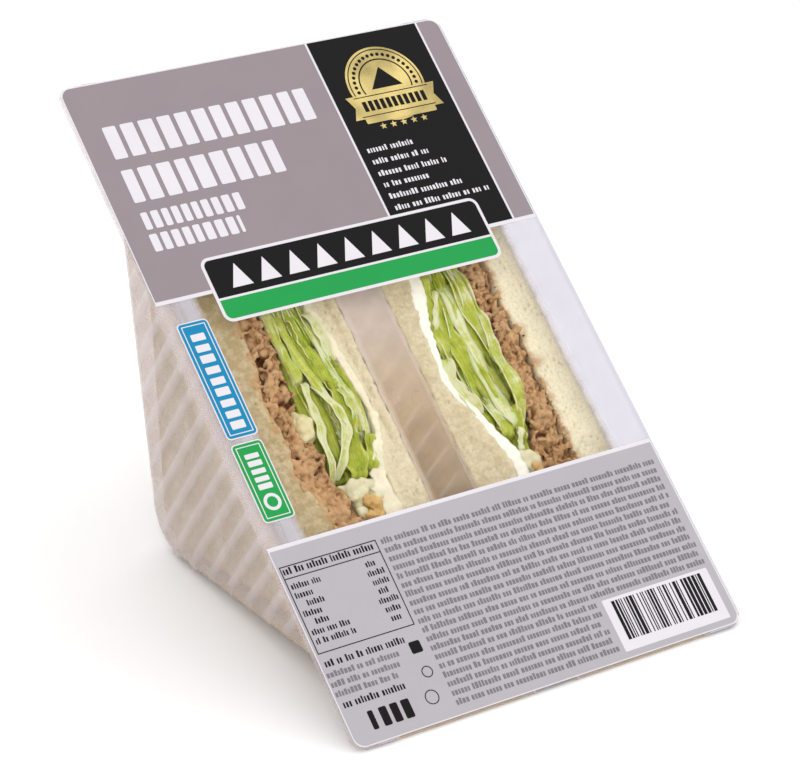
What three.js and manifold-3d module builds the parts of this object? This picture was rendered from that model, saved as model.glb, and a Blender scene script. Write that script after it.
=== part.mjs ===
// Sealed clear wedge pack with a printed lid film, holding the two halves of a tuna, egg and lettuce sandwich.
// The pack is laid out in the frame of its lid: x runs across the lid, y up along it from its bottom edge,
// and z out of it, so that depth into the pack is -z. The whole is then leaned back into its standing pose.

import * as THREE from 'three';
import { mergeVertices } from 'three/addons/utils/BufferGeometryUtils.js';
import Module from 'manifold-3d';

const wasm = await Module();
wasm.setup();

// Driving dimensions of the lid and the tray, mm

const LID_WIDTH = 120;
const LID_LENGTH = 194.2;
const LID_CORNER_RADIUS = 3.6;
const FLANGE_THICKNESS = 0.8;
const FILM_THICKNESS = 0.3;
const PRINT_THICKNESS = 0.2;
const PRINT_BORDER = 0.8;
const PIECE_GAP = 0.3;

const MOUTH_BOTTOM = 13;
const MOUTH_LENGTH = 160;
const MOUTH_HALF_WIDTH = 52.8;
const MOUTH_LEDGE = 0.4;
const RECESS_DEPTH = 4;
const RIDGE_WIDTH = 14;
const WALL = 0.8;
const WALL_DRAFT = 0.06;
const APEX_RADIUS = 13;
const TRAY_EDGE_RADIUS = 4;

const RIB_PITCH = 7.4;
const RIB_WIDTH = 1.8;
const RIB_HEIGHT = 0.9;
const RIBS_EACH_SIDE = 10;
const FOOT_CUT = 0.4;
const FOOT_FIRST_RIB = -2;
const FOOT_LAST_RIB = -1;

// Driving dimensions of the sandwich, mm

const CUT_FACE_DEPTH = 4.5;
const BREAD_INSET = 4;
const BREAD_CORNER_RADIUS = 9;
const LAYER_GAP = 0.4;
const LAYER_START = 18;
const LAYER_END = 168;
const LAYER_STEPS = 46;
const RELIEF_ROOM = 3;

// Each half: its flat outer and inner faces at the cut, and how far both lean in for each mm of depth

const LEFT_HALF = { outer: -46.6, inner: -7.4, outerLean: 0, innerLean: -0.062 };
const RIGHT_HALF = { outer: 49.8, inner: 7.5, outerLean: -0.026, innerLean: 0.062 };

// Where one layer meets the next at the cut face: pairs of y and x

const LEFT_SEAMS = {
  breadTuna: [[18, -35], [61, -35.6], [76, -39.7], [83, -38.2], [96, -39.7], [106, -37], [168, -34]],
  tunaGreens: [[18, -27.5], [61, -27.7], [71, -30.2], [81, -30.4], [91, -31.7], [96, -30.2], [116, -29], [168, -26]],
  greensCream: [[18, -19], [66, -19.5], [71, -18.7], [81, -13.6], [88, -12.4], [96, -14.2], [116, -16.9], [168, -19]],
  creamBread: [[18, -16.5], [71, -16.1], [81, -12.1], [89, -10.9], [96, -11.8], [116, -15.2], [168, -16]],
};
const RIGHT_SEAMS = {
  breadCream: [[18, 18], [66, 20.6], [76, 17], [86, 12.4], [96, 13], [116, 16.8], [168, 18]],
  creamGreens: [[18, 21], [66, 22.2], [76, 18.6], [86, 13.9], [96, 14.6], [104, 16.2], [116, 19.7], [168, 20]],
  greensTuna: [[18, 29], [58, 29], [66, 29.4], [71, 32.3], [96, 33.1], [106, 32.2], [116, 33.3], [168, 31]],
  tunaBread: [[18, 39], [61, 39.2], [91, 40.2], [96, 40.8], [106, 39.5], [116, 40.7], [168, 38.5]],
};
const LEFT_EGG_END = 69.6;
const RIGHT_EGG_END = 64.6;
const EGG_CHUNK_CENTRE = [-32.2, 86.5, -8];
const EGG_CHUNK_RADII = [3.3, 4.3, 5];

const TUNA_CRAG = 1.2;
const TUNA_COLUMNS = 4;
const EGG_LUMP = 0.7;
const EGG_COLUMNS = 3;
const LETTUCE_CORE_DROP = 2.5;
const SHRED_COUNT = 10;
const SHRED_THICKNESS = 0.8;
const SHRED_HEIGHT = 11;
const SHRED_STEPS = 9;
const SHRED_WAVE = 0.5;
const SHRED_WAVE_LENGTH = 4;

// Driving dimensions of the printed fields on the lid, mm

const TOP_PANEL_FOOT = 127.9;
const BOTTOM_PANEL_HEAD = 56;
const BAND = [16.6, 52.1];
const BANNER = { x0: -42, x1: 43, y0: 118.5, y1: 136, split: 124.5, radius: 2 };
const BLUE_TAG = [-56.4, 86.6, -48, 120.2];
const GREEN_TAG = [-56.6, 62.7, -48.2, 84.5];
const TAG_RADIUS = 1;
const CODE_PATCH = [22.7, 2.4, 56.9, 17.2];
const SEAL_CENTRE = [34.4, 176.6];
const SEAL_RADIUS = 12;
const RIBBON = [20, 166.8, 48.8, 174.2];

// Places worked out from the driving dimensions

const APEX_Y = MOUTH_BOTTOM + MOUTH_LENGTH / 2;
const ARC_DEPTH = MOUTH_LENGTH / 2 - APEX_RADIUS * Math.SQRT2;
const OUTER_RADIUS = APEX_RADIUS + WALL + RIB_HEIGHT;
const FOOT_RADIUS = OUTER_RADIUS - FOOT_CUT;
const CUT_Z = -CUT_FACE_DEPTH;
const PRINT_Z = FILM_THICKNESS + 2 * PIECE_GAP;

// The floor line runs from the flange's bottom edge and touches the foot: its angle to the lid is the lean
const ARC_DROP = ARC_DEPTH - FLANGE_THICKNESS;
const LEAN = Math.atan2(ARC_DROP, APEX_Y) + Math.asin(FOOT_RADIUS / Math.hypot(ARC_DROP, APEX_Y));

// Seeded random numbers from 0 to 1
function seededRandom(seed) {
  let state = seed;
  return () => {
    state = (state + 0x6d2b79f5) | 0;
    let t = Math.imul(state ^ (state >>> 15), 1 | state);
    t = (t + Math.imul(t ^ (t >>> 7), 61 | t)) ^ t;
    return ((t ^ (t >>> 14)) >>> 0) / 4294967296;
  };
}

// Closed geometry to solid, and back
function toSolid(geometry) {
  geometry.deleteAttribute('normal');
  geometry.deleteAttribute('uv');
  const merged = mergeVertices(geometry, 1e-4);
  const mesh = new wasm.Mesh({
    numProp: 3,
    vertProperties: new Float32Array(merged.attributes.position.array),
    triVerts: new Uint32Array(merged.index.array),
  });
  return new wasm.Manifold(mesh);
}

function toGeometry(solid) {
  const mesh = solid.getMesh();
  const geometry = new THREE.BufferGeometry();
  geometry.setAttribute('position', new THREE.BufferAttribute(new Float32Array(mesh.vertProperties), 3));
  geometry.setIndex(new THREE.BufferAttribute(new Uint32Array(mesh.triVerts), 1));
  return geometry;
}

// Moves every vertex of a geometry by a function of its place
function reshape(geometry, move) {
  const place = new THREE.Vector3();
  const position = geometry.attributes.position;
  for (let i = 0; i < position.count; i += 1) {
    place.fromBufferAttribute(position, i);
    move(place);
    position.setXYZ(i, place.x, place.y, place.z);
  }
  return geometry;
}

function box(x0, y0, z0, x1, y1, z1) {
  const geometry = new THREE.BoxGeometry(x1 - x0, y1 - y0, z1 - z0);
  return toSolid(geometry.translate((x0 + x1) / 2, (y0 + y1) / 2, (z0 + z1) / 2));
}

// Rectangle with round corners
function roundedRectangle(x0, y0, x1, y1, radius) {
  const shape = new THREE.Shape();
  shape.moveTo(x0 + radius, y0);
  shape.absarc(x1 - radius, y0 + radius, radius, -Math.PI / 2, 0);
  shape.absarc(x1 - radius, y1 - radius, radius, 0, Math.PI / 2);
  shape.absarc(x0 + radius, y1 - radius, radius, Math.PI / 2, Math.PI);
  shape.absarc(x0 + radius, y0 + radius, radius, Math.PI, Math.PI * 1.5);
  return shape;
}

// Flat plate of a shape in the plane of the lid
function plate(shape, z0, thickness) {
  const geometry = new THREE.ExtrudeGeometry(shape, {
    depth: thickness, bevelEnabled: false, curveSegments: 3,
  });
  return toSolid(geometry.translate(0, 0, z0));
}

// Turns a profile that was drawn in y and z, and extruded, so that it runs across the pack from x0
function acrossPack(geometry, x0) {
  const turn = new THREE.Matrix4().makeBasis(
    new THREE.Vector3(0, 1, 0), new THREE.Vector3(0, 0, 1), new THREE.Vector3(1, 0, 0),
  );
  return geometry.applyMatrix4(turn).translate(x0, 0, 0);
}

// Tray: a flange round a shallow recess, and two wedge pockets with a hollow ridge between them

// Right-angled wedge with a round apex, grown outwards by a distance, up to a height
function wedgeProfile(grow, topZ) {
  const radius = APEX_RADIUS + grow;
  const side = radius * Math.SQRT1_2;
  const legRise = topZ + ARC_DEPTH + side;
  const shape = new THREE.Shape();
  shape.moveTo(APEX_Y - side - legRise, topZ);
  shape.lineTo(APEX_Y - side, -ARC_DEPTH - side);
  shape.absarc(APEX_Y, -ARC_DEPTH, radius, Math.PI * 1.25, Math.PI * 1.75);
  shape.lineTo(APEX_Y + side + legRise, topZ);
  return shape;
}

// One pocket, as a solid grown outwards by a distance, with its side walls leaning in with depth
function pocketBody(side, grow, topZ) {
  const outer = MOUTH_HALF_WIDTH - MOUTH_LEDGE;
  const x0 = (side < 0 ? -outer : RIDGE_WIDTH / 2) - grow;
  const x1 = (side < 0 ? -RIDGE_WIDTH / 2 : outer) + grow;
  const edge = TRAY_EDGE_RADIUS + grow;
  const geometry = new THREE.ExtrudeGeometry(wedgeProfile(grow, topZ + 2 * edge), {
    depth: x1 - x0 - 2 * edge,
    bevelEnabled: true,
    bevelThickness: edge,
    bevelSize: edge,
    bevelOffset: -edge,
    bevelSegments: 2,
    curveSegments: 5,
  });
  acrossPack(geometry, x0 + edge);
  const middle = (x0 + x1) / 2;
  const halfWidth = (x1 - x0) / 2;
  reshape(geometry, (p) => {
    const lean = WALL_DRAFT * (-p.z - RECESS_DEPTH);
    p.x = middle + (p.x - middle) * (1 - lean / halfWidth);
  });
  return toSolid(geometry).intersect(box(x0 - 9, -50, -150, x1 + 9, 250, topZ));
}

function ribPlace(index) {
  return APEX_Y + index * RIB_PITCH;
}

// Outside of one pocket: smooth walls, a hoop at every rib place, and a foot between two of the hoops
function pocketOutside(side) {
  const topZ = -RECESS_DEPTH - WALL / 2;
  const proud = pocketBody(side, WALL + RIB_HEIGHT, topZ);
  let outside = pocketBody(side, WALL, topZ);
  for (let index = -RIBS_EACH_SIDE; index <= RIBS_EACH_SIDE; index += 1) {
    const y = ribPlace(index);
    const slab = box(-LID_WIDTH, y - RIB_WIDTH / 2, -150, LID_WIDTH, y + RIB_WIDTH / 2, 0);
    outside = outside.add(proud.intersect(slab));
  }
  const near = side * (RIDGE_WIDTH / 2 + 2 * TRAY_EDGE_RADIUS);
  const far = side * (MOUTH_HALF_WIDTH - 2 * TRAY_EDGE_RADIUS);
  const footZone = box(
    Math.min(near, far), ribPlace(FOOT_FIRST_RIB), -150,
    Math.max(near, far), ribPlace(FOOT_LAST_RIB), -ARC_DEPTH,
  );
  return outside.add(proud.intersect(footZone));
}

// Everything under the floor line, which trims the foot flat
function underFloor() {
  const geometry = new THREE.BoxGeometry(2 * LID_WIDTH, 2 * LID_LENGTH, LID_WIDTH);
  geometry.translate(0, 0, -LID_WIDTH / 2);
  geometry.rotateX(-LEAN);
  return toSolid(geometry.translate(0, 0, -FLANGE_THICKNESS));
}

function lidOutline(inset) {
  const half = LID_WIDTH / 2 - inset;
  return roundedRectangle(-half, inset, half, LID_LENGTH - inset, LID_CORNER_RADIUS - inset);
}

function recessOutline(grow) {
  return roundedRectangle(
    -MOUTH_HALF_WIDTH - grow, MOUTH_BOTTOM - grow,
    MOUTH_HALF_WIDTH + grow, MOUTH_BOTTOM + MOUTH_LENGTH + grow, TRAY_EDGE_RADIUS + grow,
  );
}

function makeTray() {
  const pockets = pocketOutside(-1).add(pocketOutside(1)).subtract(underFloor());
  const rim = plate(lidOutline(0), -FLANGE_THICKNESS, FLANGE_THICKNESS);
  const recess = plate(recessOutline(WALL), -RECESS_DEPTH - WALL, RECESS_DEPTH + WALL);
  const hollowTop = -RECESS_DEPTH + WALL / 2;
  return rim.add(recess).add(pockets)
    .subtract(plate(recessOutline(0), -RECESS_DEPTH, RECESS_DEPTH + 1))
    .subtract(pocketBody(-1, 0, hollowTop))
    .subtract(pocketBody(1, 0, hollowTop));
}

// Sandwich: half slices of bread and their filling, cut along the diagonal and standing in the pockets

// Half of a square slice with round corners, its cut side level with the cut face
function halfSliceProfile(topZ) {
  const radius = APEX_RADIUS - BREAD_INSET;
  const legEnd = MOUTH_BOTTOM + CUT_FACE_DEPTH + BREAD_INSET * Math.SQRT2;
  const reach = APEX_Y - legEnd - BREAD_CORNER_RADIUS * Math.SQRT2;
  const shape = new THREE.Shape();
  shape.moveTo(APEX_Y - reach - BREAD_CORNER_RADIUS, topZ);
  shape.lineTo(APEX_Y - reach - BREAD_CORNER_RADIUS, CUT_Z);
  shape.absarc(APEX_Y - reach, CUT_Z, BREAD_CORNER_RADIUS, Math.PI, Math.PI * 1.25);
  shape.absarc(APEX_Y, -ARC_DEPTH, radius, Math.PI * 1.25, Math.PI * 1.75);
  shape.absarc(APEX_Y + reach, CUT_Z, BREAD_CORNER_RADIUS, Math.PI * 1.75, Math.PI * 2);
  shape.lineTo(APEX_Y + reach + BREAD_CORNER_RADIUS, topZ);
  return shape;
}

const halfSlice = toSolid(acrossPack(
  new THREE.ExtrudeGeometry(halfSliceProfile(CUT_Z + RELIEF_ROOM), {
    depth: LID_WIDTH, bevelEnabled: false, curveSegments: 4,
  }), -LID_WIDTH / 2,
));

// Smooth line through pairs of y and x
function seamAt(seam, y) {
  let i = 1;
  while (i < seam.length - 1 && seam[i][0] < y) i += 1;
  const [y0, x0] = seam[i - 1];
  const [y1, x1] = seam[i];
  return THREE.MathUtils.lerp(x0, x1, THREE.MathUtils.smoothstep(y, y0, y1));
}

function straightSeam(x) {
  return [[LAYER_START, x], [LAYER_END, x]];
}

// Unit block with shared vertices, in columns across and steps along
function unitBlock(columns, steps) {
  const geometry = new THREE.BoxGeometry(1, 1, 1, columns, steps, 1);
  geometry.deleteAttribute('normal');
  geometry.deleteAttribute('uv');
  return mergeVertices(geometry, 1e-4);
}

// Deep block between two seams, with its face at the cut raised by a relief
function layer({ seams, gaps = [LAYER_GAP / 2, LAYER_GAP / 2], span = [LAYER_START, LAYER_END],
  columns = 1, drop = 0, relief = () => 0 }) {
  const stepLength = (LAYER_END - LAYER_START) / LAYER_STEPS;
  const steps = Math.round((span[1] - span[0]) / stepLength);
  const geometry = unitBlock(columns, steps);
  reshape(geometry, (p) => {
    const y = THREE.MathUtils.lerp(span[0], span[1], p.y + 0.5);
    const x0 = seamAt(seams[0], y) + gaps[0];
    const x1 = seamAt(seams[1], y) - gaps[1];
    const raised = CUT_Z - drop + (Math.abs(p.x) < 0.49 ? relief() : 0);
    p.set(THREE.MathUtils.lerp(x0, x1, p.x + 0.5), y, p.z > 0 ? raised : -LID_WIDTH);
  });
  return toSolid(geometry);
}

// Thin wavy shred of lettuce that stands on edge between two seams
function shred(seams, span, share, wave, z0) {
  return toSolid(reshape(unitBlock(1, SHRED_STEPS), (p) => {
    const y = THREE.MathUtils.lerp(span[0], span[1], p.y + 0.5);
    const margin = SHRED_WAVE + SHRED_THICKNESS / 2 + LAYER_GAP / 2;
    const x0 = seamAt(seams[0], y) + margin;
    const x1 = seamAt(seams[1], y) - margin;
    const swing = SHRED_WAVE * Math.sin(wave + y / SHRED_WAVE_LENGTH);
    p.set(THREE.MathUtils.lerp(x0, x1, share) + swing + p.x * SHRED_THICKNESS, y, z0 + (p.z - 0.5) * SHRED_HEIGHT);
  }));
}

function lettuce(seams, span, random) {
  let heap = layer({ seams, span, gaps: [LAYER_GAP, LAYER_GAP], drop: LETTUCE_CORE_DROP });
  for (let i = 0; i < SHRED_COUNT; i += 1) {
    const share = (i + 0.5) / SHRED_COUNT;
    const length = 30 + 25 * random();
    const start = THREE.MathUtils.lerp(span[0] + 1, span[1] - length - 1, (i * 0.618) % 1);
    const rise = CUT_Z - 0.6 + 1.8 * random();
    heap = heap.add(shred(seams, [start, start + length], share, 6 * random(), rise));
  }
  return heap;
}

function eggChunk(grow) {
  const [rx, ry, rz] = EGG_CHUNK_RADII;
  const geometry = new THREE.SphereGeometry(1, 12, 8);
  geometry.scale(rx + grow, ry + grow, rz + grow);
  return toSolid(geometry.translate(...EGG_CHUNK_CENTRE));
}

// Squeezes a half so that both its faces follow the pocket's walls as they close in
function squeeze(geometry, half) {
  return reshape(geometry, (p) => {
    const depth = -p.z - CUT_FACE_DEPTH;
    const share = (p.x - half.outer) / (half.inner - half.outer);
    const outer = half.outer + half.outerLean * depth;
    const inner = half.inner + half.innerLean * depth;
    p.x = THREE.MathUtils.lerp(outer, inner, share);
  });
}

// Printed fields of the lid: thin plates side by side on the film

function printPlate(shape) {
  return plate(shape, PRINT_Z, PRINT_THICKNESS);
}

function rectanglePlate([x0, y0, x1, y1], grow = 0) {
  return printPlate(roundedRectangle(x0 - grow, y0 - grow, x1 + grow, y1 + grow, TAG_RADIUS + grow));
}

// Part of the bordered lid between two heights and two sides
function lidField(x0, y0, x1, y1) {
  const zone = box(x0, y0, 0, x1, y1, 2 * PRINT_Z);
  return printPlate(lidOutline(PRINT_BORDER)).intersect(zone);
}

function bannerPlate(grow) {
  const { x0, x1, y0, y1, radius } = BANNER;
  return printPlate(roundedRectangle(x0 - grow, y0 - grow, x1 + grow, y1 + grow, radius + grow));
}

// Round seal with a ribbon across its foot
function sealPlate(grow) {
  const disc = new THREE.CylinderGeometry(SEAL_RADIUS + grow, SEAL_RADIUS + grow, PRINT_THICKNESS, 40);
  disc.rotateX(Math.PI / 2).translate(...SEAL_CENTRE, PRINT_Z + PRINT_THICKNESS / 2);
  return toSolid(disc).add(rectanglePlate(RIBBON, grow));
}

// Nodes: one mesh for each piece, in the frame of the lid

const pack = new THREE.Group();

function addNode(name, geometry, look) {
  const mesh = new THREE.Mesh(geometry, new THREE.MeshStandardMaterial({ roughness: 0.5, metalness: 0, ...look }));
  mesh.name = name;
  pack.add(mesh);
}

function addPrint(name, solid, color, look = {}) {
  addNode(name, toGeometry(solid), { color, roughness: 0.35, ...look });
}

// Food is cut to the half slice and squeezed with its half
function addFood(name, solid, half, color, roughness) {
  addNode(name, squeeze(toGeometry(solid.intersect(halfSlice)), half), { color, roughness });
}

addNode('tray', toGeometry(makeTray()), { color: '#ded7db', roughness: 0.12, transparent: true, opacity: 0.35 });
addNode('lid_film', toGeometry(plate(lidOutline(0), PIECE_GAP, FILM_THICKNESS)),
  { color: '#e9e6ea', roughness: 0.1, transparent: true, opacity: 0.3 });

const LID_HALF = LID_WIDTH / 2;
const bannerRoom = bannerPlate(PIECE_GAP);
const sealRoom = sealPlate(PIECE_GAP);
const codeRoom = rectanglePlate(CODE_PATCH, PIECE_GAP);
addPrint('print_top_panel',
  lidField(-LID_HALF, TOP_PANEL_FOOT, BAND[0] - PIECE_GAP, LID_LENGTH).subtract(bannerRoom), '#a49a9d');
addPrint('print_band', lidField(BAND[0], TOP_PANEL_FOOT, BAND[1], LID_LENGTH).subtract(bannerRoom)
  .subtract(sealRoom), '#211f20');
addPrint('print_side_strip', lidField(BAND[1] + PIECE_GAP, TOP_PANEL_FOOT, LID_HALF, LID_LENGTH), '#a49a9d');
addPrint('print_seal', sealPlate(0), '#c8a84f', { metalness: 0.6 });
addPrint('print_banner_dark', bannerPlate(0)
  .intersect(box(-LID_HALF, BANNER.split + PIECE_GAP, 0, LID_HALF, LID_LENGTH, 2 * PRINT_Z)), '#252324');
addPrint('print_banner_green', bannerPlate(0)
  .intersect(box(-LID_HALF, 0, 0, LID_HALF, BANNER.split, 2 * PRINT_Z)), '#22a850');
addPrint('print_blue_tag', rectanglePlate(BLUE_TAG), '#1c8fc7');
addPrint('print_green_tag', rectanglePlate(GREEN_TAG), '#26a254');
addPrint('print_bottom_panel', lidField(-LID_HALF, 0, LID_HALF, BOTTOM_PANEL_HEAD).subtract(codeRoom), '#c4bec4');
addPrint('print_code_patch', rectanglePlate(CODE_PATCH), '#efedf0');

const BREAD_COLOUR = '#e9dcb8';
const TUNA_COLOUR = '#b48a6a';
const LETTUCE_COLOUR = '#a8bf4e';
const CREAM_COLOUR = '#f6f2e6';
const EGG_COLOUR = '#f0e7c4';
const FACE_GAP = [0, LAYER_GAP / 2];

const random = seededRandom(7);
const crag = () => TUNA_CRAG * (random() - 0.4);
const lump = () => EGG_LUMP * (random() - 0.4);
const chunkRoom = eggChunk(LAYER_GAP);

function addHalf(side, half, seamList, eggEnd, withoutChunk) {
  const [breadTuna, tunaGreens, greensCream, creamBread] = seamList;
  const outward = half.outer < half.inner;
  const between = (a, b) => (outward ? [a, b] : [b, a]);
  const faceGaps = outward ? FACE_GAP : [...FACE_GAP].reverse();
  const innerGaps = outward ? [...FACE_GAP].reverse() : FACE_GAP;
  const greens = between(tunaGreens, greensCream);
  addFood(`${side}_outer_bread`, layer({
    seams: between(straightSeam(half.outer), breadTuna), gaps: faceGaps,
  }), half, BREAD_COLOUR, 0.9);
  addFood(`${side}_tuna`, withoutChunk(layer({
    seams: between(breadTuna, tunaGreens), columns: TUNA_COLUMNS, relief: crag,
  })), half, TUNA_COLOUR, 0.7);
  addFood(`${side}_egg`, layer({
    seams: greens, span: [LAYER_START, eggEnd - LAYER_GAP], columns: EGG_COLUMNS, relief: lump,
  }), half, EGG_COLOUR, 0.5);
  addFood(`${side}_lettuce`, withoutChunk(lettuce(greens, [eggEnd, LAYER_END], random)),
    half, LETTUCE_COLOUR, 0.45);
  addFood(`${side}_cream`, layer({ seams: between(greensCream, creamBread) }), half, CREAM_COLOUR, 0.35);
  addFood(`${side}_inner_bread`, layer({
    seams: between(creamBread, straightSeam(half.inner)), gaps: innerGaps,
  }), half, BREAD_COLOUR, 0.9);
}

const { breadTuna, tunaGreens, greensCream, creamBread } = LEFT_SEAMS;
addHalf('left', LEFT_HALF, [breadTuna, tunaGreens, greensCream, creamBread], LEFT_EGG_END,
  (solid) => solid.subtract(chunkRoom));
addFood('left_egg_chunk', eggChunk(0), LEFT_HALF, EGG_COLOUR, 0.5);

const { tunaBread, greensTuna, creamGreens, breadCream } = RIGHT_SEAMS;
addHalf('right', RIGHT_HALF, [tunaBread, greensTuna, creamGreens, breadCream], RIGHT_EGG_END,
  (solid) => solid);

// Standing pose: leaned back onto the flange's bottom edge and the foot, centred over the origin

const standing = new THREE.Group();
pack.rotation.x = LEAN;
standing.add(pack);
const extent = new THREE.Box3().setFromObject(standing, true);
pack.position.set(0, -(extent.min.y + extent.max.y) / 2, -extent.min.z);

export default standing;
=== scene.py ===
import math
import random

import bmesh
import bpy
from mathutils import Matrix, Vector, noise


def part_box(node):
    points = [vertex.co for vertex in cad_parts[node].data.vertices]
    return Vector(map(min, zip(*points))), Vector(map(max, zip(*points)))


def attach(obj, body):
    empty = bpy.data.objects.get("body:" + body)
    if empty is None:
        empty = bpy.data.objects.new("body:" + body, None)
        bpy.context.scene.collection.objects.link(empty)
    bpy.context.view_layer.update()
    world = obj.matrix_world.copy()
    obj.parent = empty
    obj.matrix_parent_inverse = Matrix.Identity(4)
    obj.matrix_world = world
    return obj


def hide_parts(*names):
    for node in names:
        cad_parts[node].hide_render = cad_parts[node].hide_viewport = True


bl_info = {
    "name": "Wedge pack with two sandwich halves",
    "version": (1, 0, 0),
    "blender": (4, 5, 0),
    "location": "View3D > Sidebar > Wedge pack",
    "description": "Clear ribbed pack with a printed lid round two tuna, egg and lettuce sandwich halves",
    "category": "Add Mesh",
}

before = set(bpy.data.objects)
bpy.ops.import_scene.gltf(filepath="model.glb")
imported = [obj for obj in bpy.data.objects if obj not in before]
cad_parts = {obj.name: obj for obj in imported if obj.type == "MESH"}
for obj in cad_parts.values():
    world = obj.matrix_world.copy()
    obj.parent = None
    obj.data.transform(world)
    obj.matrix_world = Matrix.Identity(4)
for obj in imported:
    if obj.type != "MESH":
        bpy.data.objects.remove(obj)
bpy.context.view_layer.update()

# The pack is laid out in the frame of its lid, in mm: x runs across the lid, y up along it from its bottom
# edge, and z out of it, so that depth into the pack is -z

LID_WIDTH = 120.0
LID_LENGTH = 194.2
LID_CORNER_RADIUS = 3.6
FLANGE_THICKNESS = 0.8

MOUTH_BOTTOM = 13.0
MOUTH_LENGTH = 160.0
MOUTH_TOP = MOUTH_BOTTOM + MOUTH_LENGTH
MOUTH_HALF_WIDTH = 52.8
MOUTH_LEDGE = 0.4
RECESS_DEPTH = 4.0
RIDGE_HALF_WIDTH = 7.0
WALL_DRAFT = 0.06
APEX_RADIUS = 13.0
TRAY_EDGE_RADIUS = 4.0
RIBS_EACH_SIDE = 10

CUT_Z = -4.5
BREAD_INSET = 4.0
LAYER_START = 18.0
LAYER_END = 168.0

APEX_Y = MOUTH_BOTTOM + MOUTH_LENGTH / 2
LEG_REACH = MOUTH_LENGTH / 2
ARC_DEPTH = LEG_REACH - APEX_RADIUS * math.sqrt(2)
ARC_HALF = APEX_RADIUS / math.sqrt(2)

# The lean is worked out as in the part's source, and the place comes from the lid film's own box
FOOT_RADIUS = 14.3
ARC_DROP = ARC_DEPTH - FLANGE_THICKNESS
LEAN = math.atan2(ARC_DROP, APEX_Y) + math.asin(FOOT_RADIUS / math.hypot(ARC_DROP, APEX_Y))
FILM_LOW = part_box("lid_film")[0] * 1000
FILM_Z = (0.3, 0.6)
PACK_PLACE = Vector((
    0.0,
    FILM_LOW.y + FILM_Z[1] * math.sin(LEAN),
    FILM_LOW.z - FILM_Z[0] * math.cos(LEAN),
)) / 1000
PACK_TO_WORLD = Matrix.Translation(PACK_PLACE) @ Matrix.Rotation(LEAN, 4, "X") @ Matrix.Scale(0.001, 4)
WORLD_TO_PACK = PACK_TO_WORLD.inverted()

# Each half, from its outer face to its inner one: the faces at the cut, their lean for each mm of depth, the
# seams between its layers as pairs of y and x, and how far up the egg reaches

LEFT_HALF = {
    "faces": (-46.6, -7.4),
    "leans": (0.0, -0.062),
    "seams": (
        ((18, -35), (61, -35.6), (76, -39.7), (83, -38.2), (96, -39.7), (106, -37), (168, -34)),
        ((18, -27.5), (61, -27.7), (71, -30.2), (81, -30.4), (91, -31.7), (96, -30.2), (116, -29),
         (168, -26)),
        ((18, -19), (66, -19.5), (71, -18.7), (81, -13.6), (88, -12.4), (96, -14.2), (116, -16.9),
         (168, -19)),
        ((18, -16.5), (71, -16.1), (81, -12.1), (89, -10.9), (96, -11.8), (116, -15.2), (168, -16)),
    ),
    "egg_end": 69.6,
}
RIGHT_HALF = {
    "faces": (49.8, 7.5),
    "leans": (-0.026, 0.062),
    "seams": (
        ((18, 39), (61, 39.2), (91, 40.2), (96, 40.8), (106, 39.5), (116, 40.7), (168, 38.5)),
        ((18, 29), (58, 29), (66, 29.4), (71, 32.3), (96, 33.1), (106, 32.2), (116, 33.3), (168, 31)),
        ((18, 21), (66, 22.2), (76, 18.6), (86, 13.9), (96, 14.6), (104, 16.2), (116, 19.7), (168, 20)),
        ((18, 18), (66, 20.6), (76, 17), (86, 12.4), (96, 13), (116, 16.8), (168, 18)),
    ),
    "egg_end": 64.6,
}
HALVES = {"left": LEFT_HALF, "right": RIGHT_HALF}


def srgb(code):
    """Colour code to linear red, green and blue"""
    parts = [int(code[i:i + 2], 16) / 255 for i in (0, 2, 4)]
    return tuple(p / 12.92 if p <= 0.04045 else ((p + 0.055) / 1.055) ** 2.4 for p in parts)


def mix(a, b, share):
    """Value between two others"""
    return a + (b - a) * share


def smooth(value, low, high):
    """Soft rise from 0 at low to 1 at high"""
    share = min(1.0, max(0.0, (value - low) / (high - low)))
    return share * share * (3 - 2 * share)


def length_property(name, description, millimetres):
    """Length setting, given in mm and kept in metres"""
    return bpy.props.FloatProperty(
        name=name, description=description, default=millimetres / 1000, min=0.0, precision=5,
        unit="LENGTH",
    )


def power_property(name, description, watts):
    """Power setting of a light"""
    return bpy.props.FloatProperty(
        name=name, description=description, default=watts, min=0.0, unit="POWER",
    )


def colour_property(name, description, code):
    """Colour setting, given as a colour code"""
    return bpy.props.FloatVectorProperty(
        name=name, description=description, default=srgb(code), size=3, min=0.0, max=1.0,
        subtype="COLOR",
    )


class PackSizes(bpy.types.PropertyGroup):
    """Sizes of the clear tray and the lid film"""

    sheet: length_property("Sheet", "Thickness of the tray's formed sheet", 0.4)
    rib_pitch: length_property("Rib pitch", "Distance from one rib of the tray to the next", 7.4)
    rib_width: length_property("Rib width", "Width of a rib at half its height", 2.6)
    rib_height: length_property("Rib height", "How far a rib stands out of a side wall", 0.55)
    foot_height: length_property("Foot height", "How far the ribs under the pack stand out of a leg", 0.55)
    film: length_property("Film", "Thickness of the lid film", 0.12)
    film_sag: length_property("Film sag", "Depth of the film's slack over the open tray", 0.12)


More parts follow.
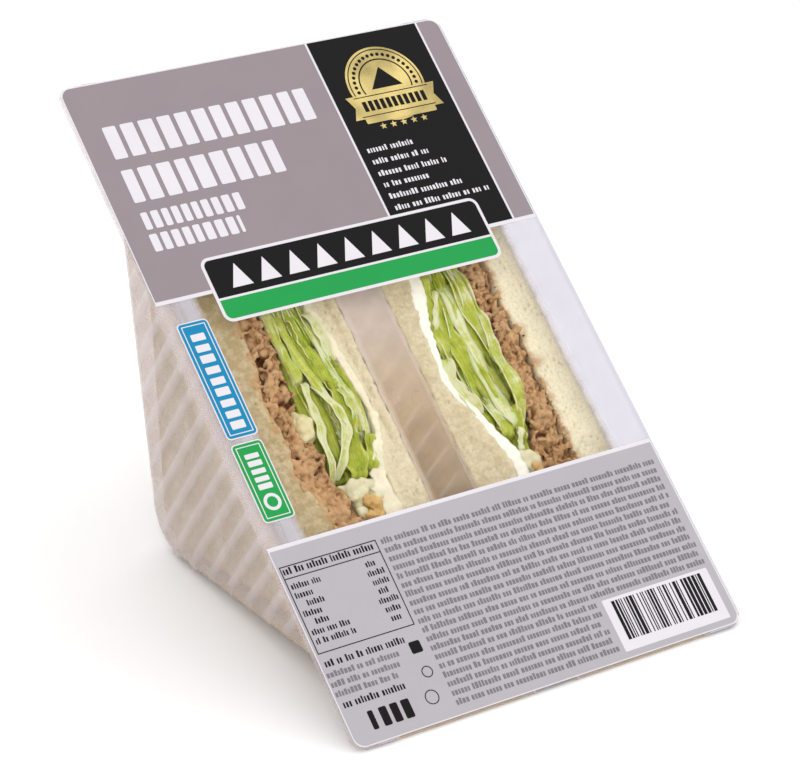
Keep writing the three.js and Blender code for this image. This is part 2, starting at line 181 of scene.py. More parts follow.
class PackColours(bpy.types.PropertyGroup):
    """Colours of the plastic and the inks"""

    tray: colour_property("Tray", "Haze of the tray's plastic", "dbd0cb")
    # Painted light: this tint stands in for the lit bread seen behind the tray's sheet
    tray_bread_glow: colour_property("Warm tray", "Haze of the tray where bread lies close behind it", "e2c9a0")
    film: colour_property("Film", "Haze of the lid film", "dedce6")
    mauve: colour_property("Mauve", "Ink of the top panel", "8d8286")
    pale: colour_property("Pale mauve", "Ink of the bottom panel", "aba6ab")
    black: colour_property("Black", "Ink of the band and the banner", "080506")
    gold: colour_property("Gold", "Ink of the seal", "c8b474")
    green: colour_property("Green", "Ink of the banner's stripe and of a tag", "1c9346")
    blue: colour_property("Blue", "Ink of the other tag", "0f7ea8")
    white: colour_property("White", "Ink of the lines and rows on dark fields", "d6d2d6")
    grey: colour_property("Grey", "Ink of the fine rows on the bottom panel", "767075")


class FoodColours(bpy.types.PropertyGroup):
    """Colours of the bread and the filling"""

    crumb: colour_property("Crumb", "Open crumb of the bread", "f6edcd")
    # Its darkness is partly painted shade: on the shaded slice and in the pores and hollows
    dense_crumb_and_shade: colour_property("Crumb shade", "Yellower and denser places of the crumb", "b5a177")
    crust: colour_property("Crust", "Thin crust on the outside of the slices", "a8743e")
    tuna: colour_property("Tuna", "Tuna paste", "be9a6e")
    # Also the painted shade in the tuna's cracks and hollows
    dark_tuna_and_crevice_shade: colour_property("Dark tuna", "Darker flakes of tuna", "80481e")
    leaf: colour_property("Leaf", "Green parts of the lettuce", "a8b23a")
    leaf_deep: colour_property("Deep leaf", "Shaded folds of the lettuce", "768420")
    leaf_light: colour_property("Light leaf", "Thin yellowish parts of the lettuce", "bfc664")
    leaf_vein: colour_property("Vein", "Pale veins and stalks of the lettuce", "dcdcb0")
    cream: colour_property("Cream", "White sandwich cream", "f8f5e4")
    egg_white: colour_property("Egg white", "Boiled egg white", "d9d3ac")
    egg_piece: colour_property("Egg piece", "Piece of egg that is stained by the tuna", "ded3a2")
    yolk: colour_property("Yolk", "Boiled yolk", "dab06a")


class StudioSettings(bpy.types.PropertyGroup):
    """Light and floor of the stage"""

    key_power: power_property("Key", "Power of the large light in front and to the left", 15.0)
    fill_power: power_property("Fill", "Power of the light on the right", 5.1)
    top_power: power_property("Top", "Power of the light overhead", 11.0)
    surround: bpy.props.FloatProperty(
        name="Surround", description="Strength of the pale surround", default=0.95, min=0.0,
    )
    floor: colour_property("Floor", "Pale studio floor", "f4f3f2")


def sizes():
    """The settings of the pack's sizes"""
    return bpy.context.scene.wedge_pack_sizes


def mm(value):
    """A length property's value in mm"""
    return value * 1000


# Mesh helpers

# Everything is drawn in the lid's frame in mm, then settled into the standing pose. The print lies on the
# film in thin steps, the lowest level first

STEP_HEIGHT = 0.05
FILM_TOP = 0.5


def settle(bm, name, finish, slot, *replaced, shade_smooth=True):
    """Makes the piece's object from its mesh, with its place in the mesh itself, and hides the nodes that it
    replaces"""
    bmesh.ops.transform(bm, matrix=PACK_TO_WORLD, verts=bm.verts)
    mesh = bpy.data.meshes.new(name)
    bm.to_mesh(mesh)
    bm.free()
    mesh.materials.append(bpy.data.materials[finish])
    mesh.polygons.foreach_set("use_smooth", [shade_smooth] * len(mesh.polygons))
    piece = bpy.data.objects.new(name, mesh)
    bpy.context.scene.collection.objects.link(piece)
    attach(piece, "root")
    if replaced:
        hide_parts(*replaced)
    return piece


def new_layers(bm, *names):
    """Layers of one number for each corner"""
    return [bm.verts.layers.float.new(name) for name in names]


def push(bm, moves):
    """Moves each corner by its own move"""
    for vert, move in zip(bm.verts, moves):
        vert.co += move


def grid_sheet(columns, rows, names, place):
    """Grid of columns by rows cells. place(column, row) gives a corner's place and its layers' values"""
    bm = bmesh.new()
    layers = new_layers(bm, *names)
    bmesh.ops.create_grid(bm, x_segments=columns, y_segments=rows, size=1.0)
    for vert in bm.verts:
        column = round((vert.co.x + 1) / 2 * columns)
        row = round((vert.co.y + 1) / 2 * rows)
        vert.co, values = place(column, row)
        for layer, value in zip(layers, values):
            vert[layer] = value
    return bm


def level_z(level):
    """Underside of the printed layer at a level"""
    return FILM_TOP + level * STEP_HEIGHT


def raise_faces(bm, faces, height=STEP_HEIGHT):
    """Turns flat faces into closed plates of a height"""
    made = bmesh.ops.extrude_face_region(bm, geom=faces)["geom"]
    risen = [part for part in made if isinstance(part, bmesh.types.BMVert)]
    bmesh.ops.translate(bm, verts=risen, vec=(0, 0, height))


def add_plate(bm, x0, y0, x1, y1, radius, level, height=STEP_HEIGHT):
    """Rectangular plate with round corners"""
    before = set(bm.verts)
    middle = Matrix.Translation(((x0 + x1) / 2, (y0 + y1) / 2, level_z(level)))
    bmesh.ops.create_grid(bm, size=0.5, matrix=middle @ Matrix.Diagonal((x1 - x0, y1 - y0, 1, 1)))
    if radius > 0:
        fresh = [vert for vert in bm.verts if vert not in before]
        bmesh.ops.bevel(
            bm, geom=fresh, offset=radius, offset_type="OFFSET", affect="VERTICES", segments=5, profile=0.5,
            material=-1,
        )
    faces = list({face for vert in bm.verts if vert not in before for face in vert.link_faces})
    raise_faces(bm, faces, height)


def add_bar(bm, x0, y0, x1, y1, level):
    """Small straight bar"""
    middle = Matrix.Translation(((x0 + x1) / 2, (y0 + y1) / 2, level_z(level) + STEP_HEIGHT / 2))
    bmesh.ops.create_cube(bm, size=1.0, matrix=middle @ Matrix.Diagonal((x1 - x0, y1 - y0, STEP_HEIGHT, 1)))


def add_frame(bm, x0, y0, x1, y1, line, level):
    """Rectangle drawn with four bars of a line's width"""
    add_bar(bm, x0, y0, x1, y0 + line, level)
    add_bar(bm, x0, y1 - line, x1, y1, level)
    add_bar(bm, x0, y0 + line, x0 + line, y1 - line, level)
    add_bar(bm, x1 - line, y0 + line, x1, y1 - line, level)


def add_polygon(bm, points, level):
    """Plate of any outline given by its corners"""
    raise_faces(bm, [bm.faces.new([bm.verts.new((x, y, level_z(level))) for x, y in points])])


def add_ring(bm, centre, inner, outer, level, segments):
    """Flat ring"""
    middle = Matrix.Translation((*centre, level_z(level)))
    edges = []
    for radius in (inner, outer):
        made = bmesh.ops.create_circle(bm, segments=segments, radius=radius, matrix=middle)
        edges += list({edge for vert in made["verts"] for edge in vert.link_edges})
    raise_faces(bm, bmesh.ops.bridge_loops(bm, edges=edges)["faces"])


def add_disc(bm, centre, radius, level, segments):
    """Flat disc"""
    middle = Matrix.Translation((*centre, level_z(level)))
    made = bmesh.ops.create_circle(bm, cap_ends=True, segments=segments, radius=radius, matrix=middle)
    raise_faces(bm, list({face for vert in made["verts"] for face in vert.link_faces}))


def thicken(bm, thickness):
    """Turns open sheets into closed ones, down along each corner's own normal"""
    lift = bm.verts.layers.float_vector.new("lift")
    bm.normal_update()
    for vert in bm.verts:
        vert[lift] = vert.normal * thickness
    made = bmesh.ops.extrude_face_region(bm, geom=bm.faces[:])["geom"]
    for part in made:
        if isinstance(part, bmesh.types.BMVert):
            part.co -= part[lift]
    bm.verts.layers.float_vector.remove(lift)
    bmesh.ops.recalc_face_normals(bm, faces=bm.faces)


def reskin(bm, voxel):
    """Even quad skin round everything in the mesh"""
    mesh = bpy.data.meshes.new("skin")
    bm.to_mesh(mesh)
    bm.free()
    core = bpy.data.objects.new("skin", mesh)
    bpy.context.scene.collection.objects.link(core)
    modifier = core.modifiers.new("skin", "REMESH")
    modifier.mode = "VOXEL"
    modifier.voxel_size = voxel
    core_evaluated = core.evaluated_get(bpy.context.evaluated_depsgraph_get())
    skinned = bmesh.new()
    skinned.from_mesh(core_evaluated.to_mesh())
    core_evaluated.to_mesh_clear()
    bpy.data.objects.remove(core)
    bpy.data.meshes.remove(mesh)
    return skinned


def unit_ball():
    """Round shape with a radius of one"""
    shape = bmesh.new()
    bmesh.ops.create_icosphere(shape, subdivisions=2, radius=1.0)
    return shape


def unit_bar():
    """Cube with sides of one"""
    shape = bmesh.new()
    bmesh.ops.create_cube(shape, size=1.0)
    return shape


def add_copies(bm, shape, places):
    """Adds the shape at each place, stretched and turned as its matrix says, and frees it"""
    mesh = bpy.data.meshes.new("copy")
    for place in places:
        copy = shape.copy()
        copy.transform(place)
        copy.to_mesh(mesh)
        copy.free()
        bm.from_mesh(mesh)
    shape.free()
    bpy.data.meshes.remove(mesh)


def node_solid(node):
    """Copy of a CAD node's solid in the lid's frame, with its loose triangles merged"""
    bm = bmesh.new()
    bm.from_mesh(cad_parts[node].data)
    bmesh.ops.remove_doubles(bm, verts=bm.verts, dist=1e-6)
    bmesh.ops.transform(bm, matrix=WORLD_TO_PACK, verts=bm.verts)
    return bm


def relax(bm, times):
    """Smooths the whole surface a number of times"""
    for _ in range(times):
        bmesh.ops.smooth_vert(
            bm, verts=bm.verts, factor=0.5, use_axis_x=True, use_axis_y=True, use_axis_z=True,
        )


def hollows(bm, times):
    """How far each corner lies under the smoothed surface, mm"""
    bm.normal_update()
    own = [(vert.co.copy(), vert.normal.copy()) for vert in bm.verts]
    relax(bm, times)
    depths = []
    for vert, (place, normal) in zip(bm.verts, own):
        depths.append((vert.co - place).dot(normal))
        vert.co = place
    return depths


def seam_at(seam, y):
    """Place across the lid of a seam between two layers"""
    step = 1
    while step < len(seam) - 1 and seam[step][0] < y:
        step += 1
    (y0, x0), (y1, x1) = seam[step - 1], seam[step]
    return mix(x0, x1, smooth(y, y0, y1))


def layer_ends(half, layer, y):
    """Outer and inner seam at y of a half's tuna, layer 0, or of the lettuce and egg, layer 1"""
    return seam_at(half["seams"][layer], y), seam_at(half["seams"][layer + 1], y)


def pattern_place(place, sizes):
    """Place in a pattern whose grains have these sizes across, along and into the pack"""
    return Vector((place.x / sizes[0], place.y / sizes[1], place.z / sizes[2]))


def squeezed(place, half):
    """Moves a point so that it follows its half's faces as they close in with depth"""
    outer, inner = half["faces"]
    depth = CUT_Z - place.z
    share = (place.x - outer) / (inner - outer)
    x = mix(outer + half["leans"][0] * depth, inner + half["leans"][1] * depth, share)
    return Vector((x, place.y, place.z))


def crust_distance(place):
    """How far a point lies inside the outer crust of the half slice, mm"""
    legs = (LEG_REACH - abs(place.y - APEX_Y) + place.z) / math.sqrt(2) - BREAD_INSET
    drop = -place.z - ARC_DEPTH
    if drop > abs(place.y - APEX_Y):
        return APEX_RADIUS - BREAD_INSET - math.hypot(place.y - APEX_Y, drop)
    return legs


# Finishes and the effects that they share


def new_group(name, inputs, outputs):
    """Empty shader node group with named sockets"""
    group = bpy.data.node_groups.new(name, "ShaderNodeTree")
    for title, kind, default in inputs:
        kind = "NodeSocket" + kind
        socket = group.interface.new_socket(name=title, in_out="INPUT", socket_type=kind)
        if default is not None:
            socket.default_value = default
    for title, kind in outputs:
        group.interface.new_socket(name=title, in_out="OUTPUT", socket_type="NodeSocket" + kind)
    return group


class Recipe:
    """A node tree in the making"""

    def __init__(self, tree):
        self.tree = tree

    def add(self, kind, inputs=None, **settings):
        """Adds a node, and gives each input a value or another node's socket"""
        node = self.tree.nodes.new(kind)
        for key, value in settings.items():
            setattr(node, key, value)
        for key, value in (inputs or {}).items():
            if isinstance(value, bpy.types.NodeSocket):
                self.tree.links.new(value, node.inputs[key])
            else:
                node.inputs[key].default_value = value
        return node

    def join(self, source, node, key):
        """Links a socket to a node's input"""
        self.tree.links.new(source, node.inputs[key])

    def noise(self, vector, scale, detail=3.0, roughness=0.55):
        """Soft random pattern, from 0 to 1"""
        made = self.add(
            "ShaderNodeTexNoise",
            {"Vector": vector, "Scale": scale, "Detail": detail, "Roughness": roughness},
        )
        return made.outputs["Fac"]

    def spread(self, value, low, high, out_low=0.0, out_high=1.0):
        """Maps a value's range to another, with soft ends"""
        made = self.add(
            "ShaderNodeMapRange",
            {"Value": value, "From Min": low, "From Max": high, "To Min": out_low, "To Max": out_high},
            interpolation_type="SMOOTHSTEP",
        )
        return made.outputs["Result"]

    def blend(self, share, first, second):
        """Mix of two colours, each of them a socket or red, green and blue"""
        colours = [c if isinstance(c, bpy.types.NodeSocket) else (*c, 1.0) for c in (first, second)]
        made = self.add("ShaderNodeMix", {0: share, 6: colours[0], 7: colours[1]}, data_type="RGBA")
        return made.outputs[2]

    def math(self, operation, first, second=0.0, clamp=False):
        """Sum, product or power of two values"""
        made = self.add("ShaderNodeMath", {0: first, 1: second}, operation=operation, use_clamp=clamp)
        return made.outputs[0]

    def attribute(self, name):
        """Value of a layer of the mesh"""
        return self.add("ShaderNodeAttribute", attribute_name=name).outputs["Fac"]

    def lid_place(self):
        """Object coordinates turned into the lid's frame, in mm"""
        coordinates = self.add("ShaderNodeTexCoord")
        turned = self.add(
            "ShaderNodeMapping",
            {"Vector": coordinates.outputs["Object"], "Location": PACK_PLACE, "Rotation": (LEAN, 0.0, 0.0),
             "Scale": (0.001, 0.001, 0.001)},
            vector_type="TEXTURE",
        )
        return turned.outputs["Vector"]


def uneven_tint_group():
    """Colour that wanders between two tints in soft patches of a size, with a finer grain over it"""
    group = new_group(
        "Uneven tint",
        (("Vector", "Vector", None), ("Patch scale", "Float", 0.1),
         ("Grain scale", "Float", 1.0), ("Grain share", "Float", 0.3),
         ("First", "Color", None), ("Second", "Color", None)),
        (("Color", "Color"), ("Mask", "Float")),
    )
    recipe = Recipe(group)
    given = recipe.add("NodeGroupInput").outputs
    patches = recipe.spread(recipe.noise(given["Vector"], given["Patch scale"], 2.0), 0.3, 0.7)
    grain = recipe.spread(recipe.noise(given["Vector"], given["Grain scale"], 4.0, 0.65), 0.3, 0.7)
    both = recipe.add("ShaderNodeMix", {0: given["Grain share"], 2: patches, 3: grain}).outputs[0]
    out = recipe.add("NodeGroupOutput")
    recipe.join(recipe.blend(both, given["First"], given["Second"]), out, "Color")
    recipe.join(both, out, "Mask")


def fine_relief_group():
    """Height of a fine surface: soft swells with a sharper grain on them"""
    group = new_group(
        "Fine relief",
        (("Vector", "Vector", None), ("Swell scale", "Float", 0.5),
         ("Grain scale", "Float", 3.0), ("Grain share", "Float", 0.4)),
        (("Height", "Float"),),
    )
    recipe = Recipe(group)
    given = recipe.add("NodeGroupInput").outputs
    swell = recipe.noise(given["Vector"], given["Swell scale"], 2.0)
    grain = recipe.noise(given["Vector"], given["Grain scale"], 5.0, 0.7)
    both = recipe.add("ShaderNodeMix", {0: given["Grain share"], 2: swell, 3: grain}).outputs[0]
    out = recipe.add("NodeGroupOutput")
    recipe.join(both, out, "Height")


class Finish(Recipe):
    """Material with one shader, whose plain values are set on its own sockets"""

    def __init__(self, name, plain):
        self.material = bpy.data.materials.new(name)
        self.material.use_nodes = True
        super().__init__(self.material.node_tree)
        self.shader = self.tree.nodes["Principled BSDF"]
        self.output = self.tree.nodes["Material Output"]
        for key, value in plain.items():
            self.shader.inputs[key].default_value = value

    def shared(self, name, vector, values):
        """Places a shared effect. The values are for its sockets after the vector, in their order"""
        made = self.add("ShaderNodeGroup", node_tree=bpy.data.node_groups[name])
        self.join(vector, made, "Vector")
        for socket, value in zip(made.inputs[1:], values):
            socket.default_value = value
        return made

    def tint(self, vector, first, second, patch, grain, share=0.3):
        """Places the shared uneven tint and returns its node"""
        return self.shared("Uneven tint", vector, (patch, grain, share, (*first, 1.0), (*second, 1.0)))

    def relief(self, vector, swell, grain, share, strength, distance):
        """Places the shared fine relief and bumps the shader with it; distance is in mm"""
        made = self.shared("Fine relief", vector, (swell, grain, share))
        bump = self.add(
            "ShaderNodeBump",
            {"Height": made.outputs["Height"], "Strength": strength, "Distance": distance / 1000},
        )
        self.join(bump.outputs["Normal"], self.shader, "Normal")

    def base(self, socket):
        """Colours the shader"""
        self.join(socket, self.shader, "Base Color")


def plain_tint(colour, change):
    """A colour made a little lighter or darker"""
    return tuple(min(1.0, max(0.0, c * change)) for c in colour)


def clear_plastic(name, haze_colour, clear_colour, edge_haze, roughness, mottle, bread_glow_colour=None):
    """See-through plastic: a pale haze and gloss over what lies behind, as much as the piece's own attribute
    says and more where it is seen along its face. That attribute also carries painted light, and where a
    piece has the bread glow attribute, it tints the haze with the painted colour of lit bread behind the
    sheet"""
    finish = Finish(name, {"Roughness": roughness})
    place = finish.lid_place()
    tint = finish.tint(place, haze_colour, plain_tint(haze_colour, 0.95), 0.03, 0.4, 0.25)
    if bread_glow_colour:
        finish.base(finish.blend(finish.attribute("warm"), tint.outputs["Color"], bread_glow_colour))
    else:
        finish.base(tint.outputs["Color"])
    finish.relief(place, 0.12, 1.5, 0.15, 0.25, 0.25)
    facing = finish.add("ShaderNodeLayerWeight", {"Blend": 0.35}).outputs["Facing"]
    along = finish.math("POWER", facing, 2.2)
    patches = finish.spread(finish.noise(place, 0.11, 3.0), 0.3, 0.7, -mottle, mottle)
    mottled = finish.math("ADD", patches, finish.attribute("haze"))
    share = finish.math("ADD", finish.math("MULTIPLY", along, edge_haze), mottled, clamp=True)
    through = finish.add("ShaderNodeBsdfTransparent", {"Color": (*clear_colour, 1.0)})
    both = finish.add(
        "ShaderNodeMixShader", {0: share, 1: through.outputs[0], 2: finish.shader.outputs[0]},
    )
    finish.join(both.outputs[0], finish.output, "Surface")


def ink(name, colour, metallic=0.0, roughness=0.36, spread=0.02):
    """Printed ink under a thin film: almost even, with a mottle as strong as its spread; on the gold the wide
    mottle is painted highlight
    """
    finish = Finish(name, {"Metallic": metallic, "Specular IOR Level": 0.16})
    place = finish.lid_place()
    tint = finish.tint(place, plain_tint(colour, 1 - spread), plain_tint(colour, 1 + spread), 0.07, 4.0, 0.3)
    finish.base(tint.outputs["Color"])
    finish.join(finish.spread(tint.outputs["Mask"], 0.0, 1.0, roughness - 0.03, roughness + 0.05),
                finish.shader, "Roughness")
    finish.relief(place, 0.06, 0.6, 0.3, 0.12, 0.2)


def bread_finish(colours):
    """Crumb with denser and stained places, painted shade in its pores and hollows and on the more shaded
    slices, and toasted crust
    """
    finish = Finish("bread crumb and crust", {
        "Roughness": 0.85, "Specular IOR Level": 0.2, "Subsurface Weight": 0.1, "Subsurface Scale": 0.0015,
    })
    place = finish.lid_place()
    tint = finish.tint(place, colours.crumb, plain_tint(colours.crumb, 0.93), 0.12, 0.9, 0.6)
    wander = finish.spread(finish.noise(place, 0.45, 5.0, 0.65), 0.32, 0.68, 0.68, 1.1)
    # The tone layer darkens each slice towards the dense crumb colour; on the left outer slice this is mostly
    # painted shade
    shade = finish.math("MULTIPLY", finish.attribute("tone"), wander, clamp=True)
    shaded = finish.blend(shade, tint.outputs["Color"], colours.dense_crumb_and_shade)
    speckle = finish.spread(finish.noise(place, 1.3, 6.0, 0.75), 0.46, 0.7)
    crumb = finish.blend(finish.math("MULTIPLY", speckle, 0.36), shaded, colours.dense_crumb_and_shade)
    # Painted shade in the pores and hollows of the crumb
    hollow_shaded = finish.blend(finish.math("MULTIPLY", finish.attribute("pit"), 0.5), crumb,
                          plain_tint(colours.dense_crumb_and_shade, 0.75))
    soaked = finish.math("MULTIPLY", finish.attribute("stain"),
                         finish.spread(finish.noise(place, 0.6, 4.0, 0.6), 0.3, 0.6, 0.3, 1.0), clamp=True)
    hollow_shaded = finish.blend(soaked, hollow_shaded, colours.tuna)
    toasted = finish.blend(finish.spread(finish.noise(place, 0.12, 3.0), 0.35, 0.65), colours.crust,
                           plain_tint(colours.crust, 1.45))
    finish.base(finish.blend(finish.attribute("crust"), hollow_shaded, toasted))
    finish.relief(place, 0.9, 2.2, 0.65, 0.75, 0.6)


def tuna_finish(colours):
    """Moist flakes, with painted shade in the cracks between them and painted light on the tops of their
    domes
    """
    finish = Finish("tuna flakes", {
        "Specular IOR Level": 0.14, "Subsurface Weight": 0.1, "Subsurface Scale": 0.001,
    })
    place = finish.lid_place()
    # The tone layer is lower on the flakes' domes, so their tops are painted lighter: painted light
    patchy = finish.math("MULTIPLY_ADD", finish.noise(place, 0.3, 3.0, 0.6), 0.7)
    finish.join(finish.attribute("tone"), patchy.node, 2)
    tint = finish.tint(place, colours.tuna, plain_tint(colours.tuna, 1.15), 0.2, 1.4, 0.5)
    paste = finish.blend(finish.spread(patchy, 0.6, 1.25), tint.outputs["Color"], colours.dark_tuna_and_crevice_shade)
    # Painted shade in the cracks and hollows between the flakes
    finish.base(finish.blend(finish.attribute("pit"), paste, plain_tint(colours.dark_tuna_and_crevice_shade, 0.36)))
    finish.join(finish.spread(tint.outputs["Mask"], 0.0, 1.0, 0.45, 0.68), finish.shader, "Roughness")
    finish.relief(place, 1.1, 3.0, 0.4, 0.4, 0.3)


def lettuce_finish(colours):
    """Leaf from deep green to pale vein, streaked along each shred, with painted shade in its hollows and
    pale edges that are partly painted highlight
    """
    finish = Finish("shredded lettuce", {
        "Roughness": 0.42, "Specular IOR Level": 0.24, "Subsurface Weight": 0.25, "Subsurface Scale": 0.001,
    })
    place = finish.lid_place()
    strand = finish.add(
        "ShaderNodeCombineXYZ",
        {0: finish.math("MULTIPLY", finish.attribute("across"), 2.0),
         1: finish.math("MULTIPLY", finish.attribute("along"), 0.08), 2: finish.attribute("tone")},
    ).outputs[0]
    streaks = finish.spread(finish.noise(strand, 2.6, 6.0, 0.72), 0.3, 0.7, -0.18, 0.22)
    wander = finish.spread(finish.noise(place, 0.22, 4.0, 0.65), 0.3, 0.7, -0.22, 0.2)
    # Paler towards each shred's edges: partly the leaf's own pale rim, partly a painted highlight
    edge = finish.math("POWER", finish.math("ABSOLUTE", finish.attribute("across")), 4.0)
    paleness = finish.math("ADD", finish.math("ADD", finish.attribute("tone"), streaks), wander)
    paleness = finish.math("ADD", paleness, finish.math("MULTIPLY", edge, 0.3))
    low = finish.blend(finish.spread(paleness, 0.0, 0.35), colours.leaf_deep, colours.leaf)
    middle = finish.blend(finish.spread(paleness, 0.4, 0.7), low, colours.leaf_light)
    leaf = finish.blend(finish.spread(paleness, 0.7, 1.0), middle, colours.leaf_vein)
    # Painted shade in the hollows between the shreds
    finish.base(finish.blend(finish.attribute("pit"), leaf, plain_tint(colours.leaf_deep, 0.45)))
    bump = finish.add("ShaderNodeBump", {"Height": streaks, "Strength": 0.45, "Distance": 0.0006})
    finish.join(bump.outputs["Normal"], finish.shader, "Normal")


def soft_finish(name, colour, light, dark, roughness, patch, grain, relief_distance):
    """Moist smooth food, such as cream and egg, between a light and a dark share of its colour"""
    finish = Finish(name, {"Roughness": roughness, "Subsurface Weight": 0.2, "Subsurface Scale": 0.0015})
    place = finish.lid_place()
    tint = finish.tint(place, plain_tint(colour, light), plain_tint(colour, dark), patch, grain, 0.4)
    finish.base(tint.outputs["Color"])
    finish.relief(place, grain * 0.7, grain * 2.5, 0.4, 0.4, relief_distance)


# Tray


def outer_edge(y):
    """Half the lid's width at y, with its round corners"""
    near = min(y, LID_LENGTH - y)
    if near >= LID_CORNER_RADIUS:
        return LID_WIDTH / 2
    rise = math.sqrt(max(0.0, LID_CORNER_RADIUS ** 2 - (LID_CORNER_RADIUS - near) ** 2))
    return LID_WIDTH / 2 - LID_CORNER_RADIUS + rise


def pocket_depth(y):
    """Depth of the pockets' legs and apex under the lid, and how much steeper a height is than its normal"""
    away = abs(y - APEX_Y)
    if away < ARC_HALF:
        steep = 1 / math.sqrt(1 - (away / APEX_RADIUS) ** 2)
        return ARC_DEPTH + math.sqrt(APEX_RADIUS ** 2 - away ** 2), steep
    return max(RECESS_DEPTH, LEG_REACH - away), math.sqrt(2)


def rib_at(y):
    """Share of a rib's full height at y, from 0 between two ribs to 1 on top of one, and the rib's number"""
    pitch = mm(sizes().rib_pitch)
    half = mm(sizes().rib_width) / 2
    index = round((y - APEX_Y) / pitch)
    if abs(index) > RIBS_EACH_SIDE:
        return 0.0, index
    away = abs(y - APEX_Y - index * pitch)
    return 1 - smooth(away, half * 0.45, half * 1.55), index


# Places along the lid where the tray's sheet has a line of corners, from its lower end, from its upper one
# and round each rib, there in halves of the rib's width
LOWER_END = (0.0, 0.35, 1.1, 2.2, 3.6, 6.5, 10.0, 12.1, 12.6, 12.9, 13.1, 13.4, 13.9, 14.7, 15.7, 16.6)
UPPER_END = (13.0, 6.5, 3.6, 2.2, 1.1, 0.35, 0.0)
ROUND_RIB = (-2.6, -1.55, -1.0, -0.45, 0.0, 0.45, 1.0, 1.55, 2.6)


def along_places():
    """Places along the lid of all the sheet's lines of corners, in order"""
    pitch = mm(sizes().rib_pitch)
    half = mm(sizes().rib_width) / 2
    places = list(LOWER_END) + [LID_LENGTH - y for y in UPPER_END]
    places += [2 * APEX_Y - y for y in LOWER_END if y > 12.0]
    for index in range(-RIBS_EACH_SIDE, RIBS_EACH_SIDE + 1):
        places += [APEX_Y + index * pitch + away * half for away in ROUND_RIB]
    return sorted(set(round(y, 3) for y in places))


# Across the ridge, from its middle to its lip: share of its width, drop, and how far the lip bulges
RIDGE_SHARES = (0.0, 0.42, 0.78, 0.9, 0.97, 1.0)
RIDGE_DROPS = (0.0, 0.0, 0.0, 0.12, 0.5, 1.1)
LIP_BULGES = (0.0, 0.0, 0.0, 0.3, 0.5, 0.25)
LIP_DROP = RIDGE_DROPS[-1]
# Number of stations down a wall, round the corner under it and across the floor
WALL_STEPS = 8
CORNER_STEPS = 5
FLOOR_STEPS = 7
# Where a pocket is shallow its stations stay this far apart, with room for the rim outside them
LEAST_STEP = 0.05
OUTER_STEPS = 14
# How far the sheet lies under its section
SHEET_SINK = 0.2
# A rib's height on the legs, as a share of its height on the walls, and the ribs that the pack stands on
LEG_RIB_SHARE = 0.2
FOOT_RIBS = (-2, -1)


def mouth_inset(y):
    """How far the mouth's round corners take its edge in at y"""
    reach = MOUTH_BOTTOM + TRAY_EDGE_RADIUS - min(y, 2 * APEX_Y - y)
    if reach <= 0:
        return 0.0
    return TRAY_EDGE_RADIUS - math.sqrt(TRAY_EDGE_RADIUS ** 2 - min(TRAY_EDGE_RADIUS, reach) ** 2)


